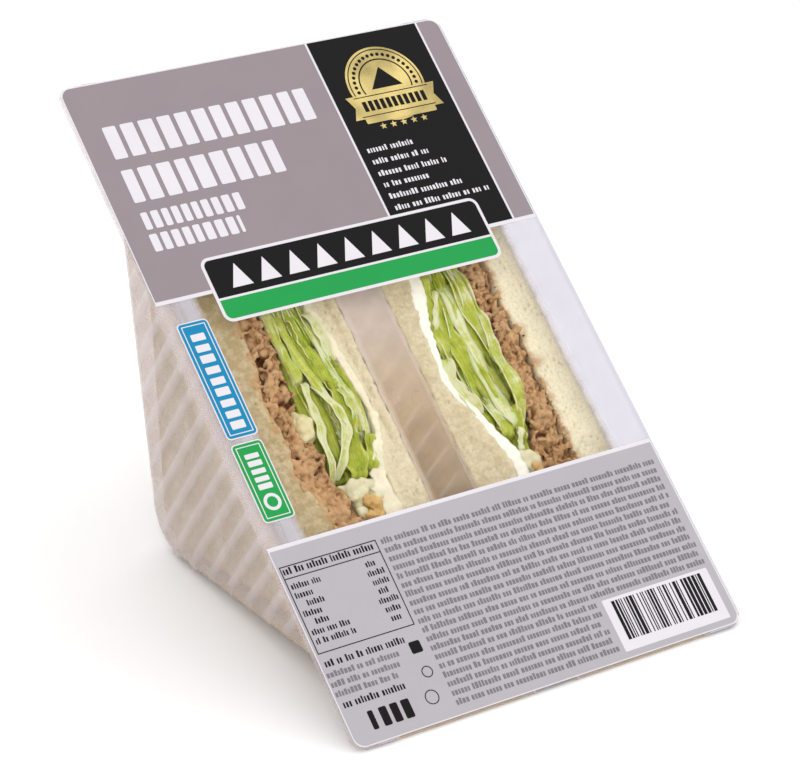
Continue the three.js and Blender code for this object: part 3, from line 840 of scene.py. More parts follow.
def half_section(y):
    """Section of one side of the tray at y, from the ridge's middle out to the lid's edge. Each station is
    (x, z, the way that a rib stands out, share of the rib's height, haze of the sheet with painted light in
    it, share of the painted glow of lit bread behind the sheet)"""
    end_distance = min(y - MOUTH_BOTTOM, MOUTH_TOP - y)
    in_mouth = smooth(end_distance, 0, 3)
    level = -RECESS_DEPTH * smooth(end_distance, -0.9, 0.6)
    depth, steep = pocket_depth(y)
    pocket = depth - RECESS_DEPTH
    corner = min(TRAY_EDGE_RADIUS * steep, pocket * 0.8)
    corner_x = TRAY_EDGE_RADIUS * min(1.0, pocket / (TRAY_EDGE_RADIUS * steep))
    wall_end = pocket - corner
    lip = min(LIP_DROP, wall_end)
    least_step = LEAST_STEP * (1 - smooth(pocket, 0.0, 2.0))
    stations = []

    def wall_x(side, under):
        """Place across of the wall by the ridge, at side -1, or of the outer one, at side 1"""
        start = RIDGE_HALF_WIDTH if side < 0 else MOUTH_HALF_WIDTH - MOUTH_LEDGE
        return start - side * WALL_DRAFT * under

    def add_station(side, step, under, turn, share, haze, bread_glow_share):
        """Station on a wall, or on the corner under it after a turn"""
        x = wall_x(side, under) - side * corner_x * (1 - math.cos(turn)) - side * least_step * step
        way = (side * math.cos(turn), -math.sin(turn) * steep)
        stations.append((x, level - under, way, share, haze, bread_glow_share))

    # The ridge's haze grows towards the window's head: painted light that lightens the gap between the halves
    # there
    ridge_haze_and_light = mix(0.2, 0.57, smooth(y, 60, 120)) * mix(0.3, 1.0, in_mouth)
    ridge_bread_glow = mix(0.95, 0.25, smooth(y, 80, 120)) * in_mouth
    for share, drop, bulge in zip(RIDGE_SHARES, RIDGE_DROPS, LIP_BULGES):
        # The lip is hazed pale: a painted highlight along the ridge's edges
        on_lip = smooth(share, 0.85, 0.97)
        stations.append((
            RIDGE_HALF_WIDTH * share + bulge * in_mouth, level - min(drop, lip), (-1, 0),
            0.6 * smooth(share, 0.9, 1.0), mix(ridge_haze_and_light, mix(0.2, 0.9, in_mouth), on_lip),
            ridge_bread_glow * (1 - 0.8 * on_lip),
        ))

    wall = [(step, mix(lip, wall_end, step / WALL_STEPS)) for step in range(1, WALL_STEPS + 1)]
    turns = [math.pi / 2 * step / CORNER_STEPS for step in range(1, CORNER_STEPS + 1)]
    bend = [
        (WALL_STEPS + step, wall_end + corner * math.sin(turn), turn, LEG_RIB_SHARE * math.sin(turn))
        for step, turn in enumerate(turns, 1)
    ]
    # The walls by the ridge are painted: a thick haze with the bread glow stands in for the light on the
    # bread behind them
    wall_haze_and_light = mix(0.85, 0.76, smooth(y, 70, 110))
    wall_bread_glow = mix(1.0, 0.8, smooth(y, 80, 120)) * in_mouth
    for step, under in wall:
        bread_glow_share = wall_bread_glow * smooth(step, 0, 2)
        add_station(-1, step, under, 0.0, smooth(wall_end - under, 0, 4), wall_haze_and_light, bread_glow_share)
    for step, under, turn, share in bend:
        add_station(-1, step, under, turn, share, mix(0.7, 0.3, math.sin(turn)), math.cos(turn))
    # The legs' haze also gets the painted glow of the lit bread behind them
    leg_bread_glow = 0.8 * smooth(APEX_Y - y, 0, 40)
    floor = (wall_x(-1, pocket) + corner_x, wall_x(1, pocket) - corner_x)
    for step in range(1, FLOOR_STEPS):
        x = mix(*floor, step / FLOOR_STEPS)
        stations.append((x, level - pocket, (0, -steep), LEG_RIB_SHARE, 0.26, leg_bread_glow))
    for step, under, turn, share in reversed(bend):
        add_station(1, step + OUTER_STEPS, under, turn, share, 0.3, leg_bread_glow)
    # Near the top of the outer wall a thicker haze with bread glow is painted light over the bread behind it
    for step, under in reversed(wall):
        share = smooth(wall_end - under, 0, 4) * smooth(under, 0.5, 5)
        deep = smooth(under, 5, 15)
        add_station(1, step + OUTER_STEPS, under, 0.0, share, mix(0.62, 0.28, deep), mix(0.6, 0.2, deep))

    inset = mouth_inset(y)
    stations = [(x - inset * x / MOUTH_HALF_WIDTH, *rest) for x, *rest in stations]
    brink = MOUTH_HALF_WIDTH - inset
    edge = outer_edge(y)
    rim = (
        (brink - 0.3, level - min(0.3, lip)), (brink, level * 0.93), (brink + 0.05, level * 0.2),
        (brink + 0.25, level * 0.04), (brink + 0.8, 0.0), (mix(brink, edge, 0.5), 0.0), (edge - 0.3, 0.0),
        (edge, -0.05),
    )
    return stations + [(x, z, (1, 0), 0.0, 0.2, 0.0) for x, z in rim]


def tray_sheet():
    """The whole tray as one formed sheet"""
    rib_height = mm(sizes().rib_height)
    foot_height = mm(sizes().foot_height)
    places = along_places()
    sections = [half_section(y) for y in places]
    ribs = [rib_at(y) for y in places]
    last = len(sections[0]) - 1

    def place(column, row):
        away = column - last
        x, z, way, share, haze, bread_glow_share = sections[row][abs(away)]
        rib, index = ribs[row]
        height = rib * share * rib_height
        if index in FOOT_RIBS:
            height = max(height, rib * foot_height * min(1.0, abs(way[1])))
        # Ribs get more haze and less bread glow: a painted highlight on each rib
        on_rib = rib * mix(share, 1.0, 0.4) * (abs(away) >= len(RIDGE_SHARES))
        on_ridge = abs(away) < len(RIDGE_SHARES) + WALL_STEPS
        rib_highlight = mix(0.22, 0.36, smooth(places[row], 70, 110)) if on_ridge else 0.13
        x = math.copysign(x + way[0] * height, away)
        corner = (x, places[row], z + way[1] * height - SHEET_SINK)
        return corner, (haze + rib_highlight * on_rib, bread_glow_share * (1 - 1.3 * on_rib))

    bm = grid_sheet(2 * last, len(places) - 1, ("haze", "warm"), place)
    thicken(bm, mm(sizes().sheet))
    return bm


class WEDGEPACK_OT_tray(bpy.types.Operator):
    """Forms the clear ribbed tray with its two wedge pockets"""

    bl_idname = "wedge_pack.tray"
    bl_label = "Clear tray"

    def execute(self, context):
        colours = context.scene.wedge_pack_colours
        clear_plastic("clear tray plastic", colours.tray, (0.97, 0.955, 0.96), 0.4, 0.24, 0.045,
                      colours.tray_bread_glow)
        settle(tray_sheet(), "clear_ribbed_tray", "clear tray plastic", "clear_tray", "tray")
        return {"FINISHED"}


# Lid film and its print

# The haze of the sealed edge starts at a distance from the lid's middle. It is strongest on the right, and on
# the left over the brink of the mouth. Part of it is painted light, which lightens the shaded strip between
# the bread and the tray's wall
SEALED_FROM = 47.8
BRINK = (49.8, 53.0)
FILM_GRID = (48, 78)
SAG_REACH = 8.0


def film_haze_and_light(x):
    """Haze of the film at a place across the lid, partly painted light over the shaded strip by the wall"""
    away = abs(x)
    sealed = smooth(away, SEALED_FROM - 1, SEALED_FROM + 2)
    if x > 0:
        return 0.56 * sealed
    over_brink = smooth(away, SEALED_FROM, BRINK[0]) * (1 - smooth(away, BRINK[1], BRINK[1] + 1.5))
    return 0.07 * sealed + 0.32 * over_brink


def film_sheet():
    """The film with its slack over the mouth"""
    film, sag = mm(sizes().film), mm(sizes().film_sag)

    def place(column, row):
        y = LID_LENGTH * row / FILM_GRID[1]
        x = (2 * column / FILM_GRID[0] - 1) * outer_edge(y)
        inside = smooth(MOUTH_HALF_WIDTH - abs(x), 0, SAG_REACH)
        inside *= smooth(min(y - MOUTH_BOTTOM, MOUTH_TOP - y), 0, SAG_REACH)
        ripple = noise.noise(Vector((x / 26, y / 34, 3.1))) + 0.4 * noise.noise(Vector((x / 9, y / 12, 7.7)))
        return (x, y, FILM_TOP - film - 0.02 - inside * sag * (0.5 + 0.5 * ripple)), (film_haze_and_light(x),)

    bm = grid_sheet(*FILM_GRID, ("haze",), place)
    thicken(bm, -film)
    return bm


class WEDGEPACK_OT_film(bpy.types.Operator):
    """Lays the clear lid film over the tray"""

    bl_idname = "wedge_pack.film"
    bl_label = "Lid film"

    def execute(self, context):
        colours = context.scene.wedge_pack_colours
        clear_plastic("clear lid film", colours.film, (0.995, 0.99, 0.99), 0.1, 0.16, 0.004)
        settle(film_sheet(), "clear_lid_film", "clear lid film", "clear_film", "lid_film")
        return {"FINISHED"}


# Places of the printed fields on the lid
PRINT_BORDER = 0.8
TOP_PANEL_FOOT = 127.9
BOTTOM_PANEL_HEAD = 56.0
WHITE_EDGE = 1.1
BAND = (16.6, 52.1)
BAND_LINE = 0.7
GROUND_OVERHANG = 0.3
BANNER = (-42.0, 118.5, 43.0, 136.0)
BANNER_SPLIT = 124.5
BLUE_TAG = (-56.4, 86.6, -48.0, 120.2)
GREEN_TAG = (-56.6, 62.7, -48.2, 84.5)
CODE_PATCH = (22.7, 2.4, 56.9, 17.2)
SEAL_CENTRE = (34.4, 176.6)
SEAL_RADIUS = 12.0
RIBBON = (20.0, 166.8, 48.8, 174.2)
RIBBON_STROKES = 11
RIBBON_PITCH = 1.9
RIBBON_STROKE = 1.25


def from_top(distance):
    """Place along the lid at a distance from its top edge"""
    return LID_LENGTH - distance


def corner_cut(bm, x0, y0, x1, y1, level, radii):
    """Field of the lid with a radius of its own at each corner, from the bottom left round to the top left"""
    points = []
    centres = ((x0, y0, 1, 1, 180), (x1, y0, -1, 1, 270), (x1, y1, -1, -1, 0), (x0, y1, 1, -1, 90))
    for (cx, cy, dx, dy, start), radius in zip(centres, radii):
        turns = [math.radians(start + 15 * step) for step in range(7 if radius else 1)]
        points += [(cx + dx * radius + radius * math.cos(turn), cy + dy * radius + radius * math.sin(turn))
                   for turn in turns]
    add_polygon(bm, points, level)


def field(name, ink_name, draw, *replaced):
    """Printed piece whose plates draw(bm) adds. Its thin ink keeps no light from the food below"""
    bm = bmesh.new()
    draw(bm)
    bmesh.ops.recalc_face_normals(bm, faces=bm.faces)
    slot = "ink_" + ink_name.split()[-1]
    piece = settle(bm, name, f"{ink_name} ink", slot, *replaced, shade_smooth=False)
    piece.visible_shadow = False


class WEDGEPACK_OT_panels(bpy.types.Operator):
    """Prints the large fields of the lid with their white edges"""

    bl_idname = "wedge_pack.panels"
    bl_label = "Printed panels"

    def execute(self, context):
        edge = LID_WIDTH / 2 - PRINT_BORDER
        top = LID_LENGTH - PRINT_BORDER
        turn = LID_CORNER_RADIUS - PRINT_BORDER
        wide = edge + GROUND_OVERHANG

        def white(bm):
            corner_cut(bm, -wide, TOP_PANEL_FOOT - WHITE_EDGE, wide, top + GROUND_OVERHANG, 0,
                       (0, 0, turn, turn))
            corner_cut(bm, -wide, PRINT_BORDER - GROUND_OVERHANG, wide, BOTTOM_PANEL_HEAD, 0,
                       (turn, turn, 0, 0))

        field("print_white_ground", "white", white)
        field("print_mauve_panel", "mauve", lambda bm: corner_cut(
            bm, -edge, TOP_PANEL_FOOT, BAND[0] - BAND_LINE, top, 1, (0, 0, 0, turn)), "print_top_panel")
        field("print_mauve_strip", "mauve", lambda bm: corner_cut(
            bm, BAND[1] + BAND_LINE, TOP_PANEL_FOOT, edge, top, 1, (0, 0, turn, 0)), "print_side_strip")
        field("print_black_band", "black", lambda bm: corner_cut(
            bm, BAND[0], TOP_PANEL_FOOT, BAND[1], top, 1, (0, 0, 0, 0)), "print_band")
        field("print_pale_panel", "pale mauve", lambda bm: corner_cut(
            bm, -edge, PRINT_BORDER, edge, BOTTOM_PANEL_HEAD - WHITE_EDGE, 1, (turn, turn, 0, 0)),
            "print_bottom_panel")
        return {"FINISHED"}


BANNER_RIM = 0.9
BANNER_RIM_CORNER = 2.6
BANNER_CORNER = 1.8
SPLIT_HALF = 0.35
MOTIFS = 9
MOTIF_HALF_WIDTH = 3.1
MOTIF_GAPS = (4.0, 2.4, 2.2)


def banner_motifs(bm):
    """Row of plain triangles"""
    x0, _, x1, y1 = BANNER
    side, below, above = MOTIF_GAPS
    pitch = (x1 - x0 - 2 * side) / MOTIFS
    low = BANNER_SPLIT + below
    for step in range(MOTIFS):
        middle = x0 + side + (step + 0.5) * pitch
        left, right = middle - MOTIF_HALF_WIDTH, middle + MOTIF_HALF_WIDTH
        add_polygon(bm, ((left, low), (right, low), (middle, y1 - above)), 4)


class WEDGEPACK_OT_banner(bpy.types.Operator):
    """Prints the plain two-colour banner across the window's head"""

    bl_idname = "wedge_pack.banner"
    bl_label = "Banner"

    def execute(self, context):
        x0, y0, x1, y1 = BANNER
        turn = BANNER_CORNER
        field("print_banner_rim", "white", lambda bm: add_plate(
            bm, x0 - BANNER_RIM, y0 - BANNER_RIM, x1 + BANNER_RIM, y1 + BANNER_RIM, BANNER_RIM_CORNER, 2))
        field("print_banner_charcoal", "black", lambda bm: corner_cut(
            bm, x0, BANNER_SPLIT + SPLIT_HALF, x1, y1, 3, (0, 0, turn, turn)), "print_banner_dark")
        field("print_banner_stripe", "green", lambda bm: corner_cut(
            bm, x0, y0, x1, BANNER_SPLIT - SPLIT_HALF, 3, (turn, turn, 0, 0)), "print_banner_green")
        field("print_banner_motifs", "white", banner_motifs)
        return {"FINISHED"}


# Each tag's place, the number of its blocks, where they start over its foot, and its ring's height over it
TAGS = {"blue": (BLUE_TAG, 9, 2.2, None), "green": (GREEN_TAG, 5, 8.6, 4.9)}
TAG_RIM = 0.35
TAG_LINE_INSET = 0.75
TAG_LINE = 0.25
TAG_BLOCK_INSET = 2.2
TAG_RING = (1.5, 2.4)


def tag_lines(bm, place, blocks, start, ring):
    """Thin frame, blocks one over the other and a ring"""
    x0, y0, x1, y1 = place
    inset = TAG_LINE_INSET
    add_frame(bm, x0 + inset, y0 + inset, x1 - inset, y1 - inset, TAG_LINE, 2)
    pitch = (y1 - TAG_BLOCK_INSET - y0 - start) / blocks
    for step in range(blocks):
        low = y0 + start + step * pitch
        high = low + pitch * (0.62 if step % 3 else 0.7)
        add_plate(bm, x0 + TAG_BLOCK_INSET, low, x1 - TAG_BLOCK_INSET, high, 0.25, 2)
    if ring:
        add_ring(bm, ((x0 + x1) / 2, y0 + ring), *TAG_RING, 2, 24)


class WEDGEPACK_OT_tags(bpy.types.Operator):
    """Prints the blue and the green tag at the window's left"""

    bl_idname = "wedge_pack.tags"
    bl_label = "Tags"

    def execute(self, context):
        for colour, tag in TAGS.items():
            x0, y0, x1, y1 = tag[0]
            field(f"print_{colour}_tag_rim", "white", lambda bm: add_plate(
                bm, x0 - TAG_RIM, y0 - TAG_RIM, x1 + TAG_RIM, y1 + TAG_RIM, 1.3, 0))
            field(f"print_{colour}_tag_body", colour, lambda bm: add_plate(
                bm, x0, y0, x1, y1, 1.0, 1), f"print_{colour}_tag")
            field(f"print_{colour}_tag_lines", "white", lambda bm: tag_lines(bm, *tag))
        return {"FINISHED"}


# The seal: its rings and dots by their distance from its middle, and the row of stars under it
SEAL_RINGS = ((11.0, 11.3), (7.7, 8.1))
SEAL_DOTS = 25
SEAL_DOT_REACH = 9.5
SEAL_DOT_TURNS = (-28, 208)
STARS = 5
FIRST_STAR = (27.5, 163.8)
STAR_PITCH = 3.33
STAR_REACH = (1.1, 0.48)


def add_star(bm, x, y):
    """Small star with five points"""
    points = []
    for corner in range(10):
        reach = STAR_REACH[corner % 2]
        turn = math.radians(90 + 36 * corner)
        points.append((x + reach * math.cos(turn), y + reach * math.sin(turn)))
    add_polygon(bm, points, 2)


def gold_seal(bm):
    """Disc, ribbon with notched ends and stars"""
    x0, y0, x1, y1 = RIBBON
    middle = (y0 + y1) / 2
    add_disc(bm, SEAL_CENTRE, SEAL_RADIUS, 2, 64)
    add_plate(bm, x0 + 3, y0 - 1.6, x1 - 3, y0 + 3, 0.4, 4)
    add_polygon(bm, ((x0, y0), (x1, y0), (x1 - 1.6, middle), (x1, y1), (x0, y1), (x0 + 1.6, middle)), 5)
    for step in range(STARS):
        add_star(bm, FIRST_STAR[0] + STAR_PITCH * step, FIRST_STAR[1])


def seal_lines(bm):
    """Rings, dots, a triangle and the rows of plain strokes on the ribbon"""
    cx, cy = SEAL_CENTRE
    x0, y0, x1, y1 = RIBBON
    for ring in SEAL_RINGS:
        add_ring(bm, SEAL_CENTRE, *ring, 3, 64)
    for step in range(SEAL_DOTS):
        turn = math.radians(mix(*SEAL_DOT_TURNS, step / (SEAL_DOTS - 1)))
        x, y = cx + SEAL_DOT_REACH * math.cos(turn), cy + SEAL_DOT_REACH * math.sin(turn)
        add_disc(bm, (x, y), 0.55, 3, 10)
    add_polygon(bm, ((cx - 5.0, cy - 1.2), (cx + 5.0, cy - 1.2), (cx, cy + 5.4)), 3)
    for low, high in ((y0 + 0.5, y0 + 0.75), (y1 - 0.75, y1 - 0.5)):
        add_bar(bm, x0 + 2.4, low, x1 - 2.4, high, 6)
    for step in range(RIBBON_STROKES):
        left = x0 + 4.2 + step * RIBBON_PITCH
        add_bar(bm, left, y0 + 2.1, left + RIBBON_STROKE, y1 - 2.1, 6)


class WEDGEPACK_OT_seal(bpy.types.Operator):
    """Prints the gold seal with its ribbon and the row of small stars"""

    bl_idname = "wedge_pack.seal"
    bl_label = "Gold seal"

    def execute(self, context):
        field("print_gold_seal", "gold", gold_seal, "print_seal")
        field("print_seal_lines", "black", seal_lines)
        return {"FINISHED"}


# Left, right, distance of the row's head and foot from the lid's top edge, lengths of its blocks, gap
TITLE_ROWS = (
    (-52.5, 12.0, 14.0, 24.0, (3.4, 4.4), 1.35),
    (-52.7, -6.0, 27.5, 37.5, (3.3, 4.4), 1.35),
    (-52.7, -22.0, 40.6, 45.8, (1.9, 2.5), 0.95),
    (-53.0, -26.0, 47.2, 52.4, (1.9, 2.5), 0.95),
)
TITLE_CORNER = 0.45
# Distance of each row from the lid's top edge, and its right end
BAND_ROWS = ((35.5, 34.0), (39.2, 37.8), (43.0, 41.5), (46.6, 34.0), (50.3, 43.5), (54.0, 49.8))
BAND_ROW_START = 19.1
BAND_ROW_DROP = 2.1
BAND_ROW_HEIGHT = 1.3
LOW_ROWS = ((173.0, -38.0), (175.6, -37.5), (178.2, -40.0))
LOW_ROW_START = -58.8
LOW_ROW_DROP = 1.5
LOW_ROW_HEIGHT = 1.2
DARK_ROWS = ((144.6, -31.5), (170.2, -35.0), (181.4, -38.5))
DARK_ROW_START = -58.0
DARK_ROW_HEIGHT = 1.4
# The block of fine rows
FINE_ROWS = 19
FINE_LONG_ROWS = 13
FINE_START = -29.0
FINE_ENDS = (58.0, 21.5)
FINE_HEAD = 144.2
FINE_PITCH = 2.53
FINE_HEIGHT = 1.25
# Left, right, and distance of the table's foot, head line and head from the lid's top edge
TABLE = (-58.6, -30.3, 168.0, 147.3, 143.8)
TABLE_LINE = 0.25
TABLE_ROWS = 7
TABLE_INDENTED_ROWS = (2, 4)
TABLE_FIRST_ROW = 150.2
TABLE_PITCH = 2.55
TABLE_STARTS = (-57.6, -36.2)
# Lengths of the strokes and the gap between them
BAND_STROKES = ((0.35, 0.75), 0.42)
TABLE_STROKES = ((0.3, 0.5), 0.34)
DARK_STROKES = ((0.35, 0.6), 0.38)
# The plain marks under the table: widths of the blocks, and each ring's place, radii and number of sides
MARK_WIDTHS = (1.5, 2.2, 2.2, 2.4)
MARK_START = -53.0
MARK_PITCH = 3.2
MARK_RINGS = ((-34.6, 187.0, 1.7, 1.95, 32), (-32.8, 180.5, 1.3, 1.55, 28))
# Widths of the stripes and of the gaps between them
STRIPE_WIDTHS = (0.33, 0.33, 0.66, 0.99)
STRIPES_HEAD = 177.9
STRIPES_FOOT = 189.0


def block_row(bm, draw, x0, x1, head, foot, blocks, gap):
    """Row of plain blocks of uneven length between two places"""
    x = x0
    while x < x1 - blocks[0] * 0.5:
        end = min(x1, x + draw.uniform(*blocks))
        add_plate(bm, x, from_top(foot), end, from_top(head), TITLE_CORNER, 2)
        x = end + gap


def stroke_row(draw, x0, x1, low, high, strokes=(0.5, 0.85), gap=0.3):
    """Places of short plain strokes in uneven groups, between two ends"""
    places = []
    x = x0
    while x < x1 - 1.2:
        for _ in range(draw.randint(2, 9)):
            wide = draw.uniform(*strokes)
            if x + wide > x1:
                break
            top = high + draw.choice((0.0, 0.0, 0.0, 0.3)) * (high - low)
            middle = ((x + wide / 2), (low + top) / 2, level_z(2) + STEP_HEIGHT / 2)
            places.append(Matrix.Translation(middle) @ Matrix.Diagonal((wide, top - low, STEP_HEIGHT, 1)))
            x += wide + gap
        x += 2 * gap
    return places


def band_rows(bm, draw):
    """Rows on the black band"""
    places = []
    for distance, end in BAND_ROWS:
        low = from_top(distance) - BAND_ROW_DROP
        places += stroke_row(draw, BAND_ROW_START, end, low, low + BAND_ROW_HEIGHT, *BAND_STROKES)
    add_copies(bm, unit_bar(), places)


def fine_rows(bm, draw):
    """Block of fine rows beside the table, shorter where the code is, and the rows under the table"""
    places = []
    for row in range(FINE_ROWS):
        high = from_top(FINE_HEAD) - FINE_PITCH * row
        end = FINE_ENDS[0] if row < FINE_LONG_ROWS else FINE_ENDS[1]
        places += stroke_row(draw, FINE_START, end - draw.uniform(0, 0.8), high - FINE_HEIGHT, high)
    for distance, end in LOW_ROWS:
        low = from_top(distance) - LOW_ROW_DROP
        places += stroke_row(draw, LOW_ROW_START, end, low, low + LOW_ROW_HEIGHT)
    add_copies(bm, unit_bar(), places)


def table_and_marks(bm, draw):
    """Framed table of short rows, with the rows and the small plain marks round it"""
    left, right, foot, line, head = TABLE
    add_frame(bm, left, from_top(foot), right, from_top(head), TABLE_LINE, 2)
    add_bar(bm, left + TABLE_LINE, from_top(line), right - TABLE_LINE, from_top(line - TABLE_LINE), 2)
    places = []
    for row in range(TABLE_ROWS):
        low = from_top(TABLE_FIRST_ROW) - TABLE_PITCH * row
        high = low + LOW_ROW_HEIGHT
        start = TABLE_STARTS[0] + (2.2 if row in TABLE_INDENTED_ROWS else 0.0)
        places += stroke_row(draw, start, start + draw.uniform(5, 12), low, high, *TABLE_STROKES)
        start = TABLE_STARTS[1] + draw.uniform(-0.6, 0.6)
        places += stroke_row(draw, start, right - 0.9, low, high, *TABLE_STROKES)
    for distance, end in DARK_ROWS:
        low = from_top(distance) - LOW_ROW_DROP
        places += stroke_row(draw, DARK_ROW_START, end, low, low + DARK_ROW_HEIGHT, *DARK_STROKES)
    add_copies(bm, unit_bar(), places)
    for step, wide in enumerate(MARK_WIDTHS):
        x = MARK_START + step * MARK_PITCH
        add_plate(bm, x, from_top(190.3), x + wide, from_top(185.3), 0.4, 2)
    for x, distance, inner, outer, sides in MARK_RINGS:
        add_ring(bm, (x, from_top(distance)), inner, outer, 2, sides)
    add_plate(bm, -34.4, from_top(175.2), -31.2, from_top(172.0), 0.5, 2)


def code_stripes(bm, draw):
    """Stripes of no meaning"""
    x = CODE_PATCH[0] + 2.5
    while x < CODE_PATCH[2] - 2.3:
        wide = draw.choice(STRIPE_WIDTHS)
        add_bar(bm, x, from_top(STRIPES_FOOT), x + wide, from_top(STRIPES_HEAD), 2)
        x += wide + draw.choice(STRIPE_WIDTHS)


class WEDGEPACK_OT_rows(bpy.types.Operator):
    """Prints plain blocks, bars and stripes in the places of the lid's rows"""

    bl_idname = "wedge_pack.rows"
    bl_label = "Rows and stripes"

    def execute(self, context):
        draw = random.Random(11)

        def title(bm):
            for row in TITLE_ROWS:
                block_row(bm, draw, *row)

        field("print_title_blocks", "white", title)
        field("print_band_rows", "white", lambda bm: band_rows(bm, draw))
        field("print_fine_rows", "grey", lambda bm: fine_rows(bm, draw))
        field("print_table_frame", "black", lambda bm: table_and_marks(bm, draw))
        field("print_code_ground", "white", lambda bm: add_plate(
            bm, *CODE_PATCH, 0.3, 1, STEP_HEIGHT * 1.4), "print_code_patch")
        field("print_code_stripes", "black", lambda bm: code_stripes(bm, draw))
        return {"FINISHED"}


# Bread

# Shade of each slice's crumb, from the lightest to the yellowest, partly the crumb's own denser colour and
# partly painted shade, which darkens the left outer slice most; how far its edge at the cut fills out
# across the lid towards a wall of the tray, and how much the tuna has stained it
SLICES = (
    ("left_outer_bread", 1.0, 0.0, 1.2),
    ("left_inner_bread", 0.45, 0.3, 0.0),
    ("right_inner_bread", 0.62, -0.3, 0.0),
    ("right_outer_bread", 0.0, 1.1, 0.8),
)
# The groove pressed into the left inner slice
GROOVE_X = -9.9
GROOVE_FOOT = 75.0
GROOVE_REACH = 0.9
GROOVE_DEPTH = 0.4
# Size and height of the crumb's swells, and sizes of its grain and pores
CRUMB_SWELLS = ((8, 0.4), (2.6, 0.26))
GRAIN_SIZES = (0.75, 1.2, 0.9)
GRAIN_HEIGHT = 0.34
PORE_SIZES = (1.3, 1.9, 1.3)
PORE_DEPTH = 0.45
PATCH_SIZE = 3.5
BREAD_VOXEL = 0.52


def bread_skin(node, shade, fill, stain):
    """Slice with torn and pored crumb on its open faces and a thin smooth crust round its legs"""
    bm = reskin(node_solid(node), BREAD_VOXEL)
    relax(bm, 1)
    crust_layer, hollow_shade_layer, tone_layer, stain_layer = new_layers(bm, "crust", "pit", "tone", "stain")
    side, which = node.split("_")[:2]
    seam = HALVES[side]["seams"][0 if which == "outer" else 3]
    bm.normal_update()
    moves = []
    for vert in bm.verts:
        place = vert.co
        crust = 1 - smooth(crust_distance(place) + 0.5 * noise.noise(place / 4), 0.5, 1.7)
        crumb = 1 - 0.8 * crust
        swell = sum(height * noise.noise(place / size) for size, height in CRUMB_SWELLS)
        grain = GRAIN_HEIGHT * noise.noise(pattern_place(place, GRAIN_SIZES))
        pore = noise.voronoi(pattern_place(place, PORE_SIZES))[0][0]
        hole = smooth(0.36 - pore, 0.0, 0.26) * smooth(noise.noise(place / 4), -0.25, 0.3)
        groove = 0.0
        if node == "left_inner_bread" and vert.normal.z > 0.3:
            groove = math.exp(-((place.x - GROOVE_X) / GROOVE_REACH) ** 2)
            groove *= smooth(place.y, GROOVE_FOOT - 3, GROOVE_FOOT + 5)
        vert[crust_layer] = crust
        patchy = noise.noise(place / PATCH_SIZE)
        away = abs(place.x - seam_at(seam, place.y))
        vert[tone_layer] = shade * (1 + 0.25 * patchy) * smooth(away, -2.0, 2.6) + 0.2 * groove
        reach = 1.2 + 5 * max(0.0, 0.3 + noise.noise(Vector((seam[0][1], place.y / 5, 0.0))))
        vert[stain_layer] = stain * (1 - smooth(away, 0.2, reach)) * (1 + patchy)
        open_face = mix(0.3, 1.0, smooth(vert.normal.z, 0.1, 0.6))
        relief = (swell + grain - PORE_DEPTH * hole) * crumb * open_face
        move = vert.normal * (relief - GROOVE_DEPTH * groove)
        if vert.normal.x * fill > 0:
            move.x += fill * abs(vert.normal.x) * smooth(place.z, CUT_Z - 14, CUT_Z - 2)
        moves.append(move)
    push(bm, moves)
    # Painted shade: the deeper a corner lies under the smoothed surface, the darker it is painted
    for vert, depth in zip(bm.verts, hollows(bm, 5)):
        vert[hollow_shade_layer] = smooth(depth, 0.02, 0.34)
    return bm


class WEDGEPACK_OT_bread(bpy.types.Operator):
    """Bakes the four half slices"""

    bl_idname = "wedge_pack.bread"
    bl_label = "Bread"

    def execute(self, context):
        for node, shade, fill, stain in SLICES:
            settle(bread_skin(node, shade, fill, stain), node.replace("bread", "slice"),
                   "bread crumb and crust", "bread", node)
        return {"FINISHED"}


# Tuna

# The piece of egg in the left half, which keeps the flakes off
EGG_CHUNK = (-32.2, 86.5)
EGG_CHUNK_REACH = (3.1, 4.5)
WINDOW_REACH = (56.0, 124.0)
FLAKES = 560
FLAKE_SHARES = (0.35, 0.45, 0.6, 0.75, 0.9)
CRUMB_SIZES = (0.5, 0.95)
TUNA_VOXEL = 0.45
# Everything less than the first depth under the cut goes down to the second, so that the pieces on it show
TUNA_TOP = (2.5, 1.7)
WHITE_TOP = (2, 1.6)
BED_TOP = (2.6, 2.6)
# Size of a flake, how deep the cracks between flakes are at the window's foot and head, and the number and
# reach of the crumbs spilled over the bread
TUNA = {
    "left": (2.5, (0.4, 1.6), (110, 0.9)),
    "right": (1.7, (0.7, 0.75), (45, 0.35)),
}


def flake_place(draw, centre, size):
    """Random turn and stretch of a flake"""
    axis = Vector((draw.gauss(0, 1), draw.gauss(0, 1), draw.gauss(0, 1)))
    stretch = Matrix.Diagonal((size, size * draw.uniform(0.6, 1.1), size * draw.uniform(0.5, 0.9), 1))
    return Matrix.Translation(centre) @ Matrix.Rotation(draw.uniform(0, math.tau), 4, axis) @ stretch


def near_chunk(place):
    """Whether a place lies on the piece of egg"""
    across = (place.x - EGG_CHUNK[0]) / EGG_CHUNK_REACH[0]
    along = (place.y - EGG_CHUNK[1]) / EGG_CHUNK_REACH[1]
    return across * across + along * along < 1


def sink_top(bm, under, depth):
    """Lowers everything less than a distance under the cut to a depth"""
    for vert in bm.verts:
        if vert.co.z > CUT_Z - under:
            vert.co.z = CUT_Z - depth


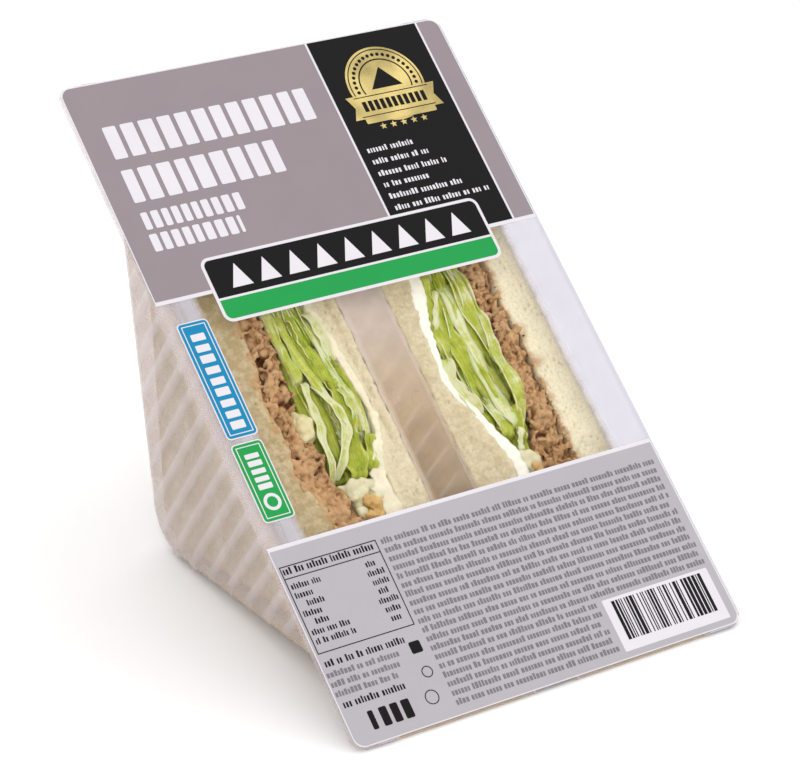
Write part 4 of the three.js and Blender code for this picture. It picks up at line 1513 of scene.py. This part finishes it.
def tuna_places(side, draw):
    """Places of the flakes that stand out at the cut, and of the crumbs spilled over the bread"""
    half = HALVES[side]
    flake, _, (crumbs, spill) = TUNA[side]
    places = []
    for _ in range(FLAKES):
        y = draw.uniform(LAYER_START + 3, LAYER_END - 3)
        size = flake * draw.choice(FLAKE_SHARES)
        outer, inner = layer_ends(half, 0, y)
        room = min(0.4, 0.6 * size / abs(inner - outer))
        centre = Vector((mix(outer, inner, draw.uniform(room, 1 - room)), y, CUT_Z - draw.uniform(0.6, 2.0)))
        if side == "right" or not near_chunk(centre):
            places.append(flake_place(draw, squeezed(centre, half), size))
    for _ in range(crumbs):
        y = draw.uniform(*WINDOW_REACH)
        outer = seam_at(half["seams"][0], y)
        centre = Vector((outer + math.copysign(abs(draw.gauss(0, spill)), outer), y, CUT_Z - 0.25))
        places.append(flake_place(draw, centre, draw.uniform(*CRUMB_SIZES)))
    return places


def tuna_skin(side, seed):
    """Layer of flakes with cracks between them"""
    half = HALVES[side]
    flake, (crack_foot, crack_head), _ = TUNA[side]
    noise.seed_set(seed)
    bm = node_solid(f"{side}_tuna")
    sink_top(bm, *TUNA_TOP)
    add_copies(bm, unit_ball(), tuna_places(side, random.Random(seed)))
    bm = reskin(bm, TUNA_VOXEL)
    bm.normal_update()
    tone_layer, crack_layer = new_layers(bm, "tone", "crack")
    moves = []
    for vert in bm.verts:
        place = vert.co
        bent = place / flake + 0.45 * noise.noise_vector(place / 1.6)
        distances, points = noise.voronoi(bent)
        outer, inner = layer_ends(half, 0, place.y)
        inward = smooth((place.x - outer) / (inner - outer), 0.0, 0.9) if side == "left" else 0.6
        depth = mix(crack_foot, crack_head, smooth(place.y, 68, 96))
        depth *= 0.3 + inward + 0.9 * noise.noise(place / 3.4)
        corner = smooth(distances[0], 0.55, 0.82)
        crack = max(0.45 - 0.45 * smooth(distances[1] - distances[0], 0.02, 0.26), corner)
        crack *= min(1.0, max(0.0, depth))
        dome = 1 - smooth(distances[0], 0.1, 0.8)
        grain = noise.noise(place / 0.85)
        # Lower on the domes of the flakes, so their tops are painted lighter: painted light
        vert[tone_layer] = 0.5 - 0.2 * dome - 0.3 * grain + 0.16 * noise.noise(points[0] * 3.7)
        vert[crack_layer] = crack
        moves.append(vert.normal * (0.3 * dome - 0.15 + 0.3 * grain - 1.1 * crack))
    push(bm, moves)
    relax(bm, 1)
    # Painted shade in the cracks and the hollows between flakes
    hollow_shade_layer = new_layers(bm, "pit")[0]
    for vert, depth in zip(bm.verts, hollows(bm, 6)):
        vert[hollow_shade_layer] = min(1.0, 0.95 * vert[crack_layer] ** 1.3 + 0.75 * smooth(depth, 0.12, 0.5))
    return bm


class WEDGEPACK_OT_tuna(bpy.types.Operator):
    """Packs the layers of flaked tuna"""

    bl_idname = "wedge_pack.tuna"
    bl_label = "Tuna"

    def execute(self, context):
        for seed, side in enumerate(HALVES):
            settle(tuna_skin(side, 20 + seed), f"{side}_tuna_flakes", "tuna flakes", "tuna", f"{side}_tuna")
        return {"FINISHED"}


# Lettuce

BLADE_ACROSS = 6
BLADE_STEPS = 26
BLADE_THICKNESS = 0.3
BLADE_TWIST = 30
BLADE_WAVE_HEIGHT = 0.35
BLADE_END_SHARE = 0.14
BLADE_END_DROP = 3.4
BLADE_TOP = -1.4
LOOSE_SHREDS = 90
SHRED_LENGTHS = (14, 44)
SHRED_WIDTHS = (1.4, 4.4)
FOLD_SIZES = (1.3, 12, 5)
FOLD_HEIGHT = 0.9
BED_VOXEL = 0.9

# The blades of leaf on top: their path as pairs of x and y, width, paleness, roll in degrees, and height over
# the cut
TOP_BLADES = {
    "left": (
        (((-21.8, 122), (-21.5, 110.9), (-20.6, 102.7), (-19.9, 92.5)), 6.4, 0.3, 6, 0.1),
        (((-19.9, 98.3), (-18.8, 90), (-19.8, 80.7)), 5.4, 0.34, -14, 0.1),
        (((-20.0, 86.0), (-21.5, 78.2), (-23.9, 68.4)), 5.2, 0.3, 16, 0.5),
        (((-15.8, 81.5), (-17.7, 75.4), (-20.4, 70.5)), 3.6, 0.36, -20, 0.3),
        (((-26.6, 88.4), (-27.6, 79.5), (-28.0, 71.5)), 3.4, 0.02, 8, -0.6),
        (((-28.9, 122), (-28.3, 109.1), (-27.9, 98.0)), 2.7, 0.62, 20, 0.6),
        (((-25.2, 122), (-25.4, 110.4), (-24.2, 101.3), (-22.4, 93.6), (-21.3, 87.2)), 2.9, 0.58, -12, 0.9),
        (((-18.6, 121), (-16.2, 106.4), (-15.4, 97.3), (-14.4, 90), (-15.4, 83.2), (-17.2, 77.6)),
         4.2, 0.82, -18, 0.1),
        (((-17.2, 119), (-15.9, 109.0), (-15.9, 101.5)), 2.4, 0.95, 24, 0.7),
        (((-17.4, 96.0), (-16.4, 88.0), (-17.6, 80.5)), 2.2, 0.7, 22, 0.6),
        (((-25.4, 101), (-25.0, 88), (-26.2, 73.5)), 4.0, 0.36, -4, -0.2),
        (((-26.3, 100.1), (-27.6, 93.6), (-27.9, 86.8), (-29.2, 80.9), (-29.5, 70.3)), 2.1, 0.86, 14, 1.0),
        (((-25.0, 99.2), (-22.9, 91.8), (-21.9, 87.3), (-22.6, 81.8), (-25.4, 76.8), (-28.5, 71.3)),
         2.9, 0.93, -10, 1.4),
    ),
    "right": (
        (((22.6, 122), (22.3, 108.4), (20.5, 102.6), (21.4, 93.9), (22.3, 84.5), (24.0, 75.4)),
         5.2, 0.34, 10, 0.0),
        (((19.6, 93.5), (19.0, 82.2), (20.6, 71.9)), 3.6, 0.08, -8, -0.5),
        (((20.6, 122), (18.7, 111.3), (17.2, 103.8), (16.6, 95.2)), 3.2, 0.5, 24, 0.4),
        (((30.4, 122), (28.4, 109.6), (29.3, 99.7), (30.2, 90.9), (30.6, 82.2), (29.6, 71.9)),
         4.4, 0.6, -12, 0.3),
        (((16.4, 96.6), (15.2, 89.2), (16.4, 82.8), (18.9, 76.0)), 3.3, 0.84, 18, 0.4),
        (((24.2, 82.5), (25.2, 75.6), (23.2, 69.0)), 4.4, 0.38, 8, 0.3),
        (((22.5, 115.8), (19.3, 108.4), (17.2, 103.2)), 1.5, 0.95, 0, 1.1),
        (((32.3, 122), (31.5, 109.6), (32.0, 102), (30.9, 93.9), (31.7, 85.9)), 2.5, 0.66, 26, 0.8),
        (((27.2, 120), (27.2, 104), (27.6, 90), (28.2, 77)), 4.0, 0.52, 4, -0.1),
        (((26.0, 122), (25.2, 108.4), (24.6, 99.7), (24.6, 90.9), (25.2, 82.2), (26.9, 74.6), (28.4, 70.4)),
         4.0, 0.9, -8, 1.1),
        (((28.6, 78.0), (28.2, 72.9), (27.2, 66.6)), 2.6, 0.4, 24, 0.3),
        (((27.9, 71.0), (25.9, 67.5), (24.7, 64.2)), 1.5, 0.98, 0, 0.9),
    ),
}

# Hollows between the shreds, with painted shade in them: place, reach across and along the lid, and depth
LETTUCE_HOLLOWS = {
    "left": ((-31.0, 98.6, 1.2, 6.5, 1.6), (-18.9, 108.3, 0.9, 1.3, 1.6), (-20.4, 96.0, 1.0, 1.9, 1.2),
             (-18.9, 78.8, 1.4, 2.4, 0.8)),
    "right": ((23.2, 66.8, 1.5, 2.9, 2.4), (28.4, 91.3, 0.8, 1.8, 1.4), (21.2, 82.0, 1.0, 4.5, 0.9)),
}


def path_point(path, t):
    """Point of the smooth line through a path's points"""
    steps = len(path) - 1
    index = min(steps - 1, int(t * steps))
    share = t * steps - index
    a, b = path[max(0, index - 1)], path[index]
    c, d = path[index + 1], path[min(steps, index + 2)]
    return Vector([
        0.5 * (2 * q + (r - p) * share + (2 * p - 5 * q + 4 * r - s) * share ** 2
               + (3 * q - p - 3 * r + s) * share ** 3)
        for p, q, r, s in zip(a, b, c, d)
    ])


def add_blade(bm, layers, half, path, width, tone, roll, rise, draw):
    """One shred of leaf along a path of x and y, arched, rolled and wavy, with its ends going down"""
    across_layer, along_layer, tone_layer = layers
    twist = math.radians(draw.uniform(-BLADE_TWIST, BLADE_TWIST))
    wave = draw.uniform(0, math.tau)
    curl = draw.uniform(0.25, 0.7) * draw.choice((-1, 1))
    sway = draw.uniform(0.2, 0.55)
    made = bmesh.ops.create_grid(bm, x_segments=BLADE_ACROSS, y_segments=BLADE_STEPS, size=1.0)
    for vert in made["verts"]:
        across, t = vert.co.x, (vert.co.y + 1) / 2
        middle = path_point(path, t)
        run = (path_point(path, min(1, t + 0.02)) - path_point(path, max(0, t - 0.02))).normalized()
        taper = (smooth(t, -0.1, BLADE_END_SHARE) * smooth(1 - t, -0.1, BLADE_END_SHARE)) ** 0.6
        rim = 1 + 0.16 * math.sin(9 * t + wave) + 0.1 * math.sin(23 * t + 2 * wave + across)
        reach = width / 2 * taper * rim
        angle = math.radians(roll) + twist * (t - 0.5)
        cup = curl * reach * across * across
        side = across * reach * math.cos(angle) - cup * math.sin(angle)
        up = across * reach * math.sin(angle) + cup * math.cos(angle)
        up += BLADE_WAVE_HEIGHT * math.sin(24 * t + wave + 2 * across) * across * across
        up += sway * math.sin(8 * t + 3 * wave)
        ends = (1 - smooth(t, 0, BLADE_END_SHARE)) + (1 - smooth(1 - t, 0, BLADE_END_SHARE))
        up -= BLADE_END_DROP * ends
        floor = abs(middle.y - APEX_Y) - LEG_REACH + BREAD_INSET + 0.5
        z = max(min(CUT_Z - 0.9 + rise + up, BLADE_TOP), floor)
        vert.co = squeezed(Vector((middle.x - run.y * side, middle.y + run.x * side, z)), half)
        vert[across_layer] = across
        vert[along_layer] = middle.y
        vert[tone_layer] = tone


def sink_hollows(bm, side):
    """Lowers the leaf at the hollows and paints shade into them"""
    hollow_shade_layer = bm.verts.layers.float["pit"]
    for vert in bm.verts:
        if vert.co.z > CUT_Z - 5:
            for x, y, across, along, depth in LETTUCE_HOLLOWS[side]:
                near = 1 - smooth(math.hypot((vert.co.x - x) / across, (vert.co.y - y) / along), 0.35, 1.0)
                vert.co.z -= depth * near
                vert[hollow_shade_layer] = max(vert[hollow_shade_layer], near)


def lettuce_shreds(side, seed):
    """Loose shreds in the depth, and the blades that show on top"""
    half = HALVES[side]
    draw = random.Random(seed)
    bm = bmesh.new()
    layers = new_layers(bm, "across", "along", "tone", "pit")[:3]
    for _ in range(LOOSE_SHREDS):
        length = draw.uniform(*SHRED_LENGTHS)
        start = draw.uniform(half["egg_end"] + 1, LAYER_END - 4 - length)
        width = draw.uniform(*SHRED_WIDTHS)
        share = draw.uniform(0.1, 0.9)
        path = []
        for step in range(4):
            y = start + length * step / 3
            outer, inner = layer_ends(half, 1, y)
            room = min(0.5, (0.5 * width + 0.3) / abs(inner - outer))
            share = min(1 - room, max(room, share + draw.uniform(-0.09, 0.09)))
            path.append((mix(outer, inner, share), y))
        add_blade(bm, layers, half, path, width, draw.uniform(0.05, 0.85), draw.uniform(-50, 50),
                  draw.uniform(-3.6, -0.5), draw)
    for path, width, tone, roll, rise in TOP_BLADES[side]:
        add_blade(bm, layers, half, path, width, tone, roll, rise, draw)
    thicken(bm, BLADE_THICKNESS)
    sink_hollows(bm, side)
    return bm


def lettuce_bed(side):
    """Deep mass of leaf under the shreds that show"""
    bm = node_solid(f"{side}_lettuce")
    sink_top(bm, *BED_TOP)
    bm = reskin(bm, BED_VOXEL)
    relax(bm, 1)
    tone_layer, hollow_shade_layer = new_layers(bm, "across", "along", "tone", "pit")[2:]
    bm.normal_update()
    moves = []
    for vert in bm.verts:
        place = vert.co
        fold = noise.noise(pattern_place(place, FOLD_SIZES))
        # Paler where the folds rise, and painted shade where they sink
        vert[tone_layer] = 0.25 + 0.6 * fold
        vert[hollow_shade_layer] = 0.25 * smooth(-fold, 0.0, 0.5)
        moves.append(vert.normal * FOLD_HEIGHT * fold)
    push(bm, moves)
    sink_hollows(bm, side)
    return bm


class WEDGEPACK_OT_lettuce(bpy.types.Operator):
    """Lays the shredded lettuce"""

    bl_idname = "wedge_pack.lettuce"
    bl_label = "Lettuce"

    def execute(self, context):
        for seed, side in enumerate(HALVES):
            settle(lettuce_bed(side), f"{side}_lettuce_bed", "shredded lettuce", "lettuce",
                   f"{side}_lettuce")
            settle(lettuce_shreds(side, 40 + seed), f"{side}_lettuce_shreds", "shredded lettuce", "lettuce")
        return {"FINISHED"}


# Cream and egg

# Finish of each side's cream, and how high the bead stands that has welled up at the cut
CREAM = {"left": ("thin sandwich cream", 0.5), "right": ("sandwich cream", 0.75)}
CREAM_STEPS = 150
WHITE_PIECES = 46
YOLK_CRUMBS = 5
# The bead's path: x, y and width
CREAM_BEADS = {
    "left": ((-17.4, 158, 2.4), (-16.8, 130, 2.0), (-15.6, 119.1, 2.0), (-14.5, 110.4, 2.3),
             (-13.4, 102.7, 2.0), (-12.6, 94.5, 1.7), (-12.1, 87.7, 1.5), (-12.7, 80.9, 1.8),
             (-15.4, 75.4, 2.8), (-17.9, 70.4, 4.0), (-19.2, 65.0, 5.2), (-19.0, 58.6, 6.0),
             (-18.6, 44, 4.0), (-18.0, 26, 3.0)),
    "right": ((19.2, 158, 2.6), (18.8, 130, 3.6), (17.9, 118.3, 4.0), (16.2, 111.3, 3.3), (14.7, 104.3, 2.4),
              (14.2, 99.7, 2.0), (13.2, 93.9, 1.9), (13.0, 89.2, 1.7), (14.7, 83.4, 1.7), (17.3, 77.5, 2.0),
              (19.4, 71.7, 2.6), (21.5, 65.9, 3.4), (22.6, 60.0, 3.8), (20.6, 44, 3.2), (19.6, 26, 2.6)),
}
# Lumps of egg that show at the cut: x, y and radius
WHITE_LUMPS = {
    "left": ((-26.0, 67.6, 1.9), (-23.4, 67.9, 1.7), (-21.2, 66.8, 1.4), (-27.2, 64.6, 1.6),
             (-21.0, 63.2, 1.6), (-26.6, 60.2, 1.7), (-24.6, 65.4, 1.6)),
    "right": ((24.2, 63.2, 1.5), (26.4, 62.6, 1.7), (24.8, 60.4, 1.6), (27.6, 60.2, 1.4)),
}
YOLK_LUMPS = {
    "left": ((-24.2, 62.6, 1.5), (-23.0, 60.6, 1.7), (-24.4, 58.6, 1.8), (-22.2, 58.2, 1.3)),
    "right": ((28.2, 62.2, 0.9), (27.0, 58.4, 1.3)),
}


def soft_skin(bm, voxel, smoothing, swell, swell_size):
    """Smooth moist skin round a rough mass"""
    bm = reskin(bm, voxel)
    relax(bm, smoothing)
    bm.normal_update()
    push(bm, [vert.normal * swell * noise.noise(vert.co / swell_size) for vert in bm.verts])
    return bm


def cream_mass(side, seed, height):
    """The layer of cream with its bead"""
    draw = random.Random(seed)
    bm = node_solid(f"{side}_cream")
    places = []
    for step in range(CREAM_STEPS + 1):
        x, y, width = path_point(CREAM_BEADS[side], step / CREAM_STEPS)
        x += 0.5 * noise.noise(Vector((0.0, y / 3.2, seed))) - math.copysign(0.35, x)
        reach = (width / 2 + 0.4) * (1 + 0.5 * noise.noise(Vector((2.0, y / 1.9, seed))))
        centre = Matrix.Translation((x, y, CUT_Z - 0.35 + draw.uniform(-0.12, 0.12)))
        places.append(centre @ Matrix.Diagonal((reach, 0.9, height, 1)))
    add_copies(bm, unit_ball(), places)
    return soft_skin(bm, 0.45, 1, 0.4, 1.8)


class WEDGEPACK_OT_cream(bpy.types.Operator):
    """Spreads the white sandwich cream"""

    bl_idname = "wedge_pack.cream"
    bl_label = "Cream"

    def execute(self, context):
        for seed, side in enumerate(HALVES):
            finish, height = CREAM[side]
            settle(cream_mass(side, 50 + seed, height), f"{side}_cream_spread", finish, "cream",
                   f"{side}_cream")
        return {"FINISHED"}


def egg_white_mass(side, seed):
    """Egg white in rough pieces under the lettuce"""
    half = HALVES[side]
    draw = random.Random(seed)
    bm = node_solid(f"{side}_egg")
    sink_top(bm, *WHITE_TOP)
    places = []
    for _ in range(WHITE_PIECES):
        y = draw.uniform(LAYER_START + 3, half["egg_end"] - 2.2)
        outer, inner = layer_ends(half, 1, y)
        centre = Vector((mix(outer, inner, draw.uniform(0.2, 0.8)), y, CUT_Z - draw.uniform(1.2, 2.2)))
        places.append(flake_place(draw, squeezed(centre, half), draw.uniform(1.2, 2.2)))
    for x, y, radius in WHITE_LUMPS[side]:
        places.append(flake_place(draw, Vector((x, y, CUT_Z - radius * 0.55)), radius * 1.25))
    add_copies(bm, unit_ball(), places)
    return soft_skin(bm, 0.5, 2, 0.35, 1.5)


def yolk_mass(side, seed):
    """Yolk in crumbly lumps"""
    draw = random.Random(seed)
    bm = bmesh.new()
    places = []
    for x, y, radius in YOLK_LUMPS[side]:
        for _ in range(YOLK_CRUMBS):
            centre = Vector((x + draw.gauss(0, radius / 2), y + draw.gauss(0, radius / 2), CUT_Z - 0.2))
            places.append(flake_place(draw, centre, draw.uniform(0.6, 1.1) * radius))
    add_copies(bm, unit_ball(), places)
    return soft_skin(bm, 0.35, 3, 0.35, 1.1)


class WEDGEPACK_OT_egg(bpy.types.Operator):
    """Adds the boiled egg"""

    bl_idname = "wedge_pack.egg"
    bl_label = "Egg"

    def execute(self, context):
        for seed, side in enumerate(HALVES):
            settle(egg_white_mass(side, 60 + seed), f"{side}_egg_white", "egg white", "egg", f"{side}_egg")
            settle(yolk_mass(side, 70 + seed), f"{side}_yolk", "egg yolk", "egg")
        chunk = node_solid("left_egg_chunk")
        for vert in chunk.verts:
            x, y, z = vert.co
            vert.co = (mix(EGG_CHUNK[0], x, 1.12), mix(EGG_CHUNK[1], y, 1.12), z + 0.4)
        settle(soft_skin(chunk, 0.4, 6, 1.3, 2.1), "left_egg_white_piece", "egg piece", "egg",
               "left_egg_chunk")
        return {"FINISHED"}


# Finishes, stage and panel

# How each ink's look differs from the plain one
INKS = {
    "mauve": {}, "pale mauve": {}, "black": {"roughness": 0.45},
    # The gold's wide spread paints lighter and darker patches as its metallic highlights: painted highlight
    "gold": {"metallic": 0.4, "roughness": 0.32, "spread": 0.45},
    "green": {}, "blue": {}, "white": {}, "grey": {},
}
# Colour, its light and dark share, roughness, scale of patches and of grain, and depth of the relief
SOFT_FOODS = {
    "sandwich cream": ("cream", 1.0, 0.95, 0.28, 0.1, 0.8, 0.35),
    "thin sandwich cream": ("crumb", 0.78, 0.92, 0.45, 0.2, 0.8, 0.35),
    "egg white": ("egg_white", 1.0, 0.9, 0.38, 0.15, 0.6, 0.3),
    "egg piece": ("egg_piece", 1.0, 0.88, 0.4, 0.2, 0.8, 0.3),
    "egg yolk": ("yolk", 1.0, 0.75, 0.55, 0.3, 1.6, 0.4),
}


class WEDGEPACK_OT_finishes(bpy.types.Operator):
    """Mixes the inks and the finishes of the food"""

    bl_idname = "wedge_pack.finishes"
    bl_label = "Finishes"

    def execute(self, context):
        uneven_tint_group()
        fine_relief_group()
        colours = context.scene.wedge_pack_colours
        for name, look in INKS.items():
            ink(f"{name} ink", getattr(colours, name.split()[0]), **look)
        food = context.scene.wedge_pack_food
        bread_finish(food)
        tuna_finish(food)
        lettuce_finish(food)
        for name, (colour, *look) in SOFT_FOODS.items():
            soft_finish(name, getattr(food, colour), *look)
        return {"FINISHED"}


# Place and axes of the camera in the lid's frame, from the four corners of the lid in the photograph
CAMERA_PLACE = (-379.9, -145.8, 612.1)
CAMERA_RIGHT = (0.83836, -0.41159, 0.35752)
CAMERA_UP = (0.22258, 0.85708, 0.46458)
CAMERA_BACK = (-0.49761, -0.30986, 0.81015)
CAMERA_LENS = 130.4
SENSOR_WIDTH = 36.0


LIGHTS_TARGET = Vector((0, 0, 0.05))


def add_area_light(name, place, size, power):
    """Square light turned to the pack"""
    light = bpy.data.lights.new(name, "AREA")
    light.shape = "RECTANGLE"
    light.size, light.size_y = size, size
    light.energy = power
    lamp = bpy.data.objects.new(name, light)
    bpy.context.scene.collection.objects.link(lamp)
    lamp.location = place
    lamp.rotation_euler = (LIGHTS_TARGET - Vector(place)).to_track_quat("-Z", "Y").to_euler()


class WEDGEPACK_OT_stage(bpy.types.Operator):
    """Sets up the pale floor, the soft light and the camera"""

    bl_idname = "wedge_pack.stage"
    bl_label = "Stage"

    def execute(self, context):
        scene = context.scene
        studio = scene.wedge_pack_studio
        bm = bmesh.new()
        bmesh.ops.create_grid(bm, x_segments=1, y_segments=1, size=6.0)
        mesh = bpy.data.meshes.new("studio_floor")
        bm.to_mesh(mesh)
        bm.free()
        finish = Finish("studio floor", {"Roughness": 0.75, "Specular IOR Level": 0.15})
        place = finish.lid_place()
        tint = finish.tint(place, studio.floor, plain_tint(studio.floor, 0.985), 0.004, 0.05)
        finish.base(tint.outputs["Color"])
        mesh.materials.append(finish.material)
        floor = bpy.data.objects.new("studio_floor", mesh)
        scene.collection.objects.link(floor)

        add_area_light("key", (-1.3, -1.5, 1.7), 1.6, studio.key_power)
        add_area_light("fill", (1.6, -0.9, 1.0), 1.4, studio.fill_power)
        add_area_light("top", (0.1, 0.5, 2.0), 2.0, studio.top_power)
        world = bpy.data.worlds.new("surround")
        world.use_nodes = True
        background = world.node_tree.nodes["Background"]
        background.inputs["Color"].default_value = (0.98, 0.985, 1.0, 1.0)
        background.inputs["Strength"].default_value = studio.surround
        scene.world = world
        scene.view_settings.view_transform = "Standard"
        scene.view_settings.look = "None"

        lens = bpy.data.cameras.new("camera")
        lens.lens = CAMERA_LENS
        lens.sensor_width = SENSOR_WIDTH
        lens.sensor_fit = "HORIZONTAL"
        lens.clip_start = 0.05
        camera = bpy.data.objects.new("camera", lens)
        scene.collection.objects.link(camera)
        axes = Matrix((CAMERA_RIGHT, CAMERA_UP, CAMERA_BACK)).transposed().to_4x4()
        camera.matrix_world = Matrix.Translation(PACK_TO_WORLD @ Vector(CAMERA_PLACE)) @ (
            Matrix.Rotation(LEAN, 4, "X") @ axes)
        scene.camera = camera
        return {"FINISHED"}


STEPS = (
    WEDGEPACK_OT_finishes, WEDGEPACK_OT_tray, WEDGEPACK_OT_film, WEDGEPACK_OT_panels, WEDGEPACK_OT_banner,
    WEDGEPACK_OT_tags, WEDGEPACK_OT_seal, WEDGEPACK_OT_rows, WEDGEPACK_OT_bread, WEDGEPACK_OT_tuna,
    WEDGEPACK_OT_lettuce, WEDGEPACK_OT_cream, WEDGEPACK_OT_egg, WEDGEPACK_OT_stage,
)
SETTINGS = (
    ("wedge_pack_sizes", PackSizes), ("wedge_pack_colours", PackColours), ("wedge_pack_food", FoodColours),
    ("wedge_pack_studio", StudioSettings),
)


class WEDGEPACK_PT_pieces(bpy.types.Panel):
    """Sizes, colours and steps of the wedge pack"""

    bl_idname = "WEDGEPACK_PT_pieces"
    bl_label = "Wedge pack"
    bl_space_type = "VIEW_3D"
    bl_region_type = "UI"
    bl_category = "Wedge pack"

    def draw(self, context):
        for key, group in SETTINGS:
            box = self.layout.box()
            for name in group.__annotations__:
                box.prop(getattr(context.scene, key), name)
        for step in STEPS:
            self.layout.operator(step.bl_idname)


def register():
    """Adds the settings, the operators and the panel"""
    for key, group in SETTINGS:
        bpy.utils.register_class(group)
        setattr(bpy.types.Scene, key, bpy.props.PointerProperty(type=group))
    for step in STEPS:
        bpy.utils.register_class(step)
    bpy.utils.register_class(WEDGEPACK_PT_pieces)


def unregister():
    """Takes them away again, in reverse"""
    bpy.utils.unregister_class(WEDGEPACK_PT_pieces)
    for step in reversed(STEPS):
        bpy.utils.unregister_class(step)
    for key, group in reversed(SETTINGS):
        delattr(bpy.types.Scene, key)
        bpy.utils.unregister_class(group)


def main():
    """Builds every piece and the stage in order"""
    register()
    for step in STEPS:
        getattr(bpy.ops.wedge_pack, step.bl_idname.split(".")[1])()


if __name__ == "__main__":
    main()
